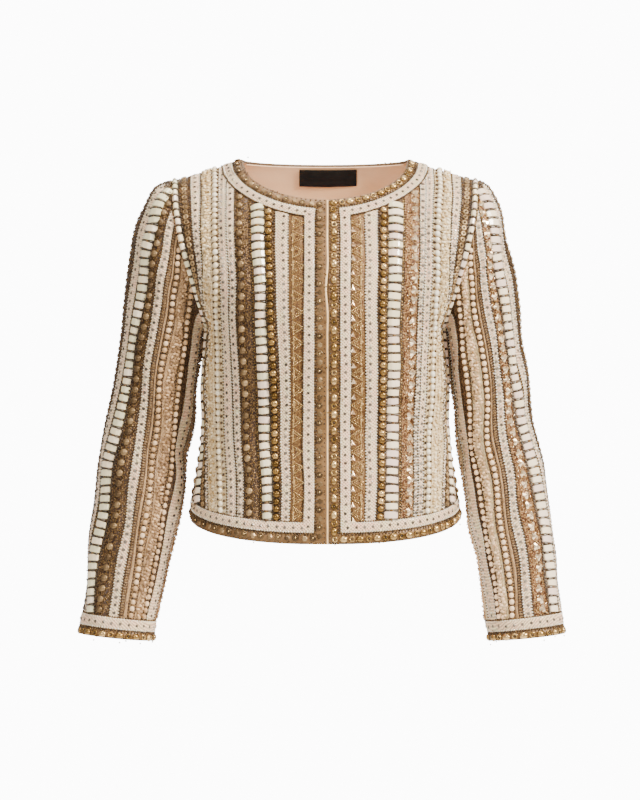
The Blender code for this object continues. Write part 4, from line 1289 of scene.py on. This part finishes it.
def buildTrims():
    width = body["trimWidth"]
    shares = trim["steps"] / width
    hem, neck = -1 + shares / 10, 2 - shares
    inner = [v for v in levels if -0.9 < v < 1]
    for side, border in (("right", "rings"), ("left", "ovals")):
        net = nets["front_" + side]
        down = np.concatenate([hem, inner, neck[::-1]])
        ends = np.minimum((down + 1) * 10, 2 - down)[:, None] * width
        inset = np.minimum(shares[None] * width, ends)
        buildTrim("front_trim_" + side, net, shares, down, inset)
        u = np.array([column for column in columnsOut if column >= 1 and column == int(column)])
        u[0] += 0.01
        buildTrim("hem_trim_" + side, net, u, hem)
        buildTrim("neck_trim_" + side, net, u[u <= neckLine], neck)
        trimBeads("front_trim_" + side, net, frontPath, border)
    net = nets["back"]
    u = net.across[net.across == np.round(net.across)]
    buildTrim("hem_trim_back", net, u, hem)
    buildTrim("neck_trim_back", net, u[np.abs(u) <= neckLine], neck)
    trimBeads("hem_trim_back", net, lambda share: (
        np.linspace(-sideLine, sideLine, 300), np.full(300, -1 + share / 10)))
    trimBeads("neck_trim_back", net, lambda share: (
        np.linspace(-neckLine, neckLine, 300), np.full(300, 2 - share)))
    for side in ("right", "left"):
        net, name = nets["sleeve_" + side], "cuff_trim_" + side
        buildTrim(name, net, net.across, cuffRow + 1 - shares, closed=True)
        trimBeads(name, net, lambda share: (
            np.linspace(net.across[0], net.across[-1], 240), np.full(240, cuffRow + 1 - share)))


buildTrims()
buildBeads()


# The cord down the closed fronts, the satin inside the back neck, and the label's finish

def buildPiping():
    net, radius, middle = nets["front_left"], 1.5, 3.0
    v = np.concatenate([np.linspace(-1, -0.9, 6), np.linspace(-0.89, 1.99, 90)])
    points = net.lift(np.zeros(len(v)), v, 0.0)
    curve = bpy.data.curves.new("front_cord", "CURVE")
    curve.dimensions = "3D"
    curve.bevel_depth = radius * mm
    curve.bevel_resolution = 3
    curve.use_fill_caps = True
    spline = curve.splines.new("POLY")
    spline.points.add(len(points) - 1)
    # Between the hidden hooks the edge bows out a little, and leaves narrow slits beside the cord
    for spot, point in zip(spline.points, points):
        slits = math.exp(-((point[2] + 0.17) / 0.05) ** 2)
        bow = (1.2 * math.sin(point[2] / 0.012) - 1.0) * slits
        spot.co = ((middle + bow) * mm, point[1] - (0.6 + slits) * mm, point[2], 1)
    showPiece("front_cord", curve, ["cordSatin"], ["front_piping"])
    # The cord's flange fills the gap between the two edges, a little way in
    grid, _ = np.meshgrid([-0.8, 0.6, 2.2, 3.9, 5.6], v)
    outer = np.repeat(points[:, None], 5, axis=1) + [0, 0.9 * mm, 0]
    outer[..., 0] = grid * mm
    along = net.read(net.flat, np.zeros(len(v)), v)[:, None, 1] + 0 * grid
    mesh = addWall(
        bmesh.new(), outer, outer + [0, 0.6 * mm, 0], np.stack([grid * mm, along], axis=2)
    )
    addPiece("front_cord_flange", mesh, ["borderSatin"])


def buildLining():
    net, lastColumn, lowLevel, thick = nets["back"], 14, 0.6, 1.0
    u = net.across[np.abs(net.across) <= lastColumn]
    grid, v = np.meshgrid(u, levels[levels >= lowLevel])
    deep = -body["cloth"] - body["seam"]
    mesh = addWall(
        bmesh.new(), net.lift(grid, v, deep), net.lift(grid, v, deep - thick),
        net.read(net.flat, grid, v),
    )
    addPiece("back_neck_satin", mesh, ["lining"], ["back_neck_lining"])


buildPiping()
buildLining()
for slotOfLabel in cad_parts["neck_label"].material_slots:
    slotOfLabel.material = finishes["label"]


# Camera, lights and backdrop, as in a plain studio

def buildStudio():
    far, high, sensor = 5.0, 1.04, 36
    camera = addObject("camera", bpy.data.cameras.new("camera"))
    camera.data.sensor_fit = "VERTICAL"
    camera.data.sensor_height = sensor
    camera.data.lens = sensor * far / high
    camera.data.clip_end = 50
    camera.location = (-0.0065, -far, -0.3107)
    camera.rotation_euler = (math.pi / 2, 0, 0)
    bpy.context.scene.camera = camera
    # Name, place, size and watts
    lamps = [
        ("key light", (2.7, -2.0, 1.7), 1.0, 370), ("fill light", (-1.6, -3.1, 0.8), 1.6, 60),
        ("back light", (0.3, 2.6, 1.4), 2.4, 70), ("top light", (0.0, -0.5, 2.6), 1.0, 80),
    ]
    for name, place, size, power in lamps:
        lamp = addObject(name, bpy.data.lights.new(name, "AREA"))
        lamp.data.size = size
        lamp.data.energy = power
        lamp.data.color = (1.0, 0.96, 0.9)
        lamp.location = place
        toward = Vector((0, 0, -0.3)) - Vector(place)
        lamp.rotation_euler = toward.to_track_quat("-Z", "Y").to_euler()
    world = bpy.data.worlds.new("studio")
    world.use_nodes = True
    # The camera sees white paper behind the jacket, and the jacket is lit by a softer white
    nodes = world.node_tree.nodes
    lit = nodes["Background"]
    lit.inputs["Color"].default_value = (1.0, 0.98, 0.95, 1)
    lit.inputs["Strength"].default_value = 0.65
    seen = addNode(world, "ShaderNodeBackground", {"Color": (1, 1, 1, 1), "Strength": 12.0})
    ray = addNode(world, "ShaderNodeLightPath").outputs["Is Camera Ray"]
    mixed = addNode(
        world, "ShaderNodeMixShader", links={0: ray, 1: lit.outputs[0], 2: seen.outputs[0]}
    )
    world.node_tree.links.new(mixed.outputs[0], nodes["World Output"].inputs["Surface"])
    bpy.context.scene.world = world
    mesh = bmesh.new()
    bmesh.ops.create_circle(mesh, cap_ends=True, segments=72, radius=1.1)
    bmesh.ops.translate(mesh, verts=mesh.verts, vec=(0, 0, -0.95))
    floor = addObject("floor", bpy.data.meshes.new("floor"))
    mesh.to_mesh(floor.data)
    mesh.free()
    paper = bpy.data.materials.new("background paper, white")
    paper.use_nodes = True
    inputs = paper.node_tree.nodes["Principled BSDF"].inputs
    inputs["Base Color"].default_value = linear("#F7F7F7")
    inputs["Roughness"].default_value = 0.9
    floor.data.materials.append(paper)
    floor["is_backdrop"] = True


buildStudio()

boxes = {"cad": cadBox, "visual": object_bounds()}
boxes = {key: [list(map(float, corner)) for corner in box] for key, box in boxes.items()}
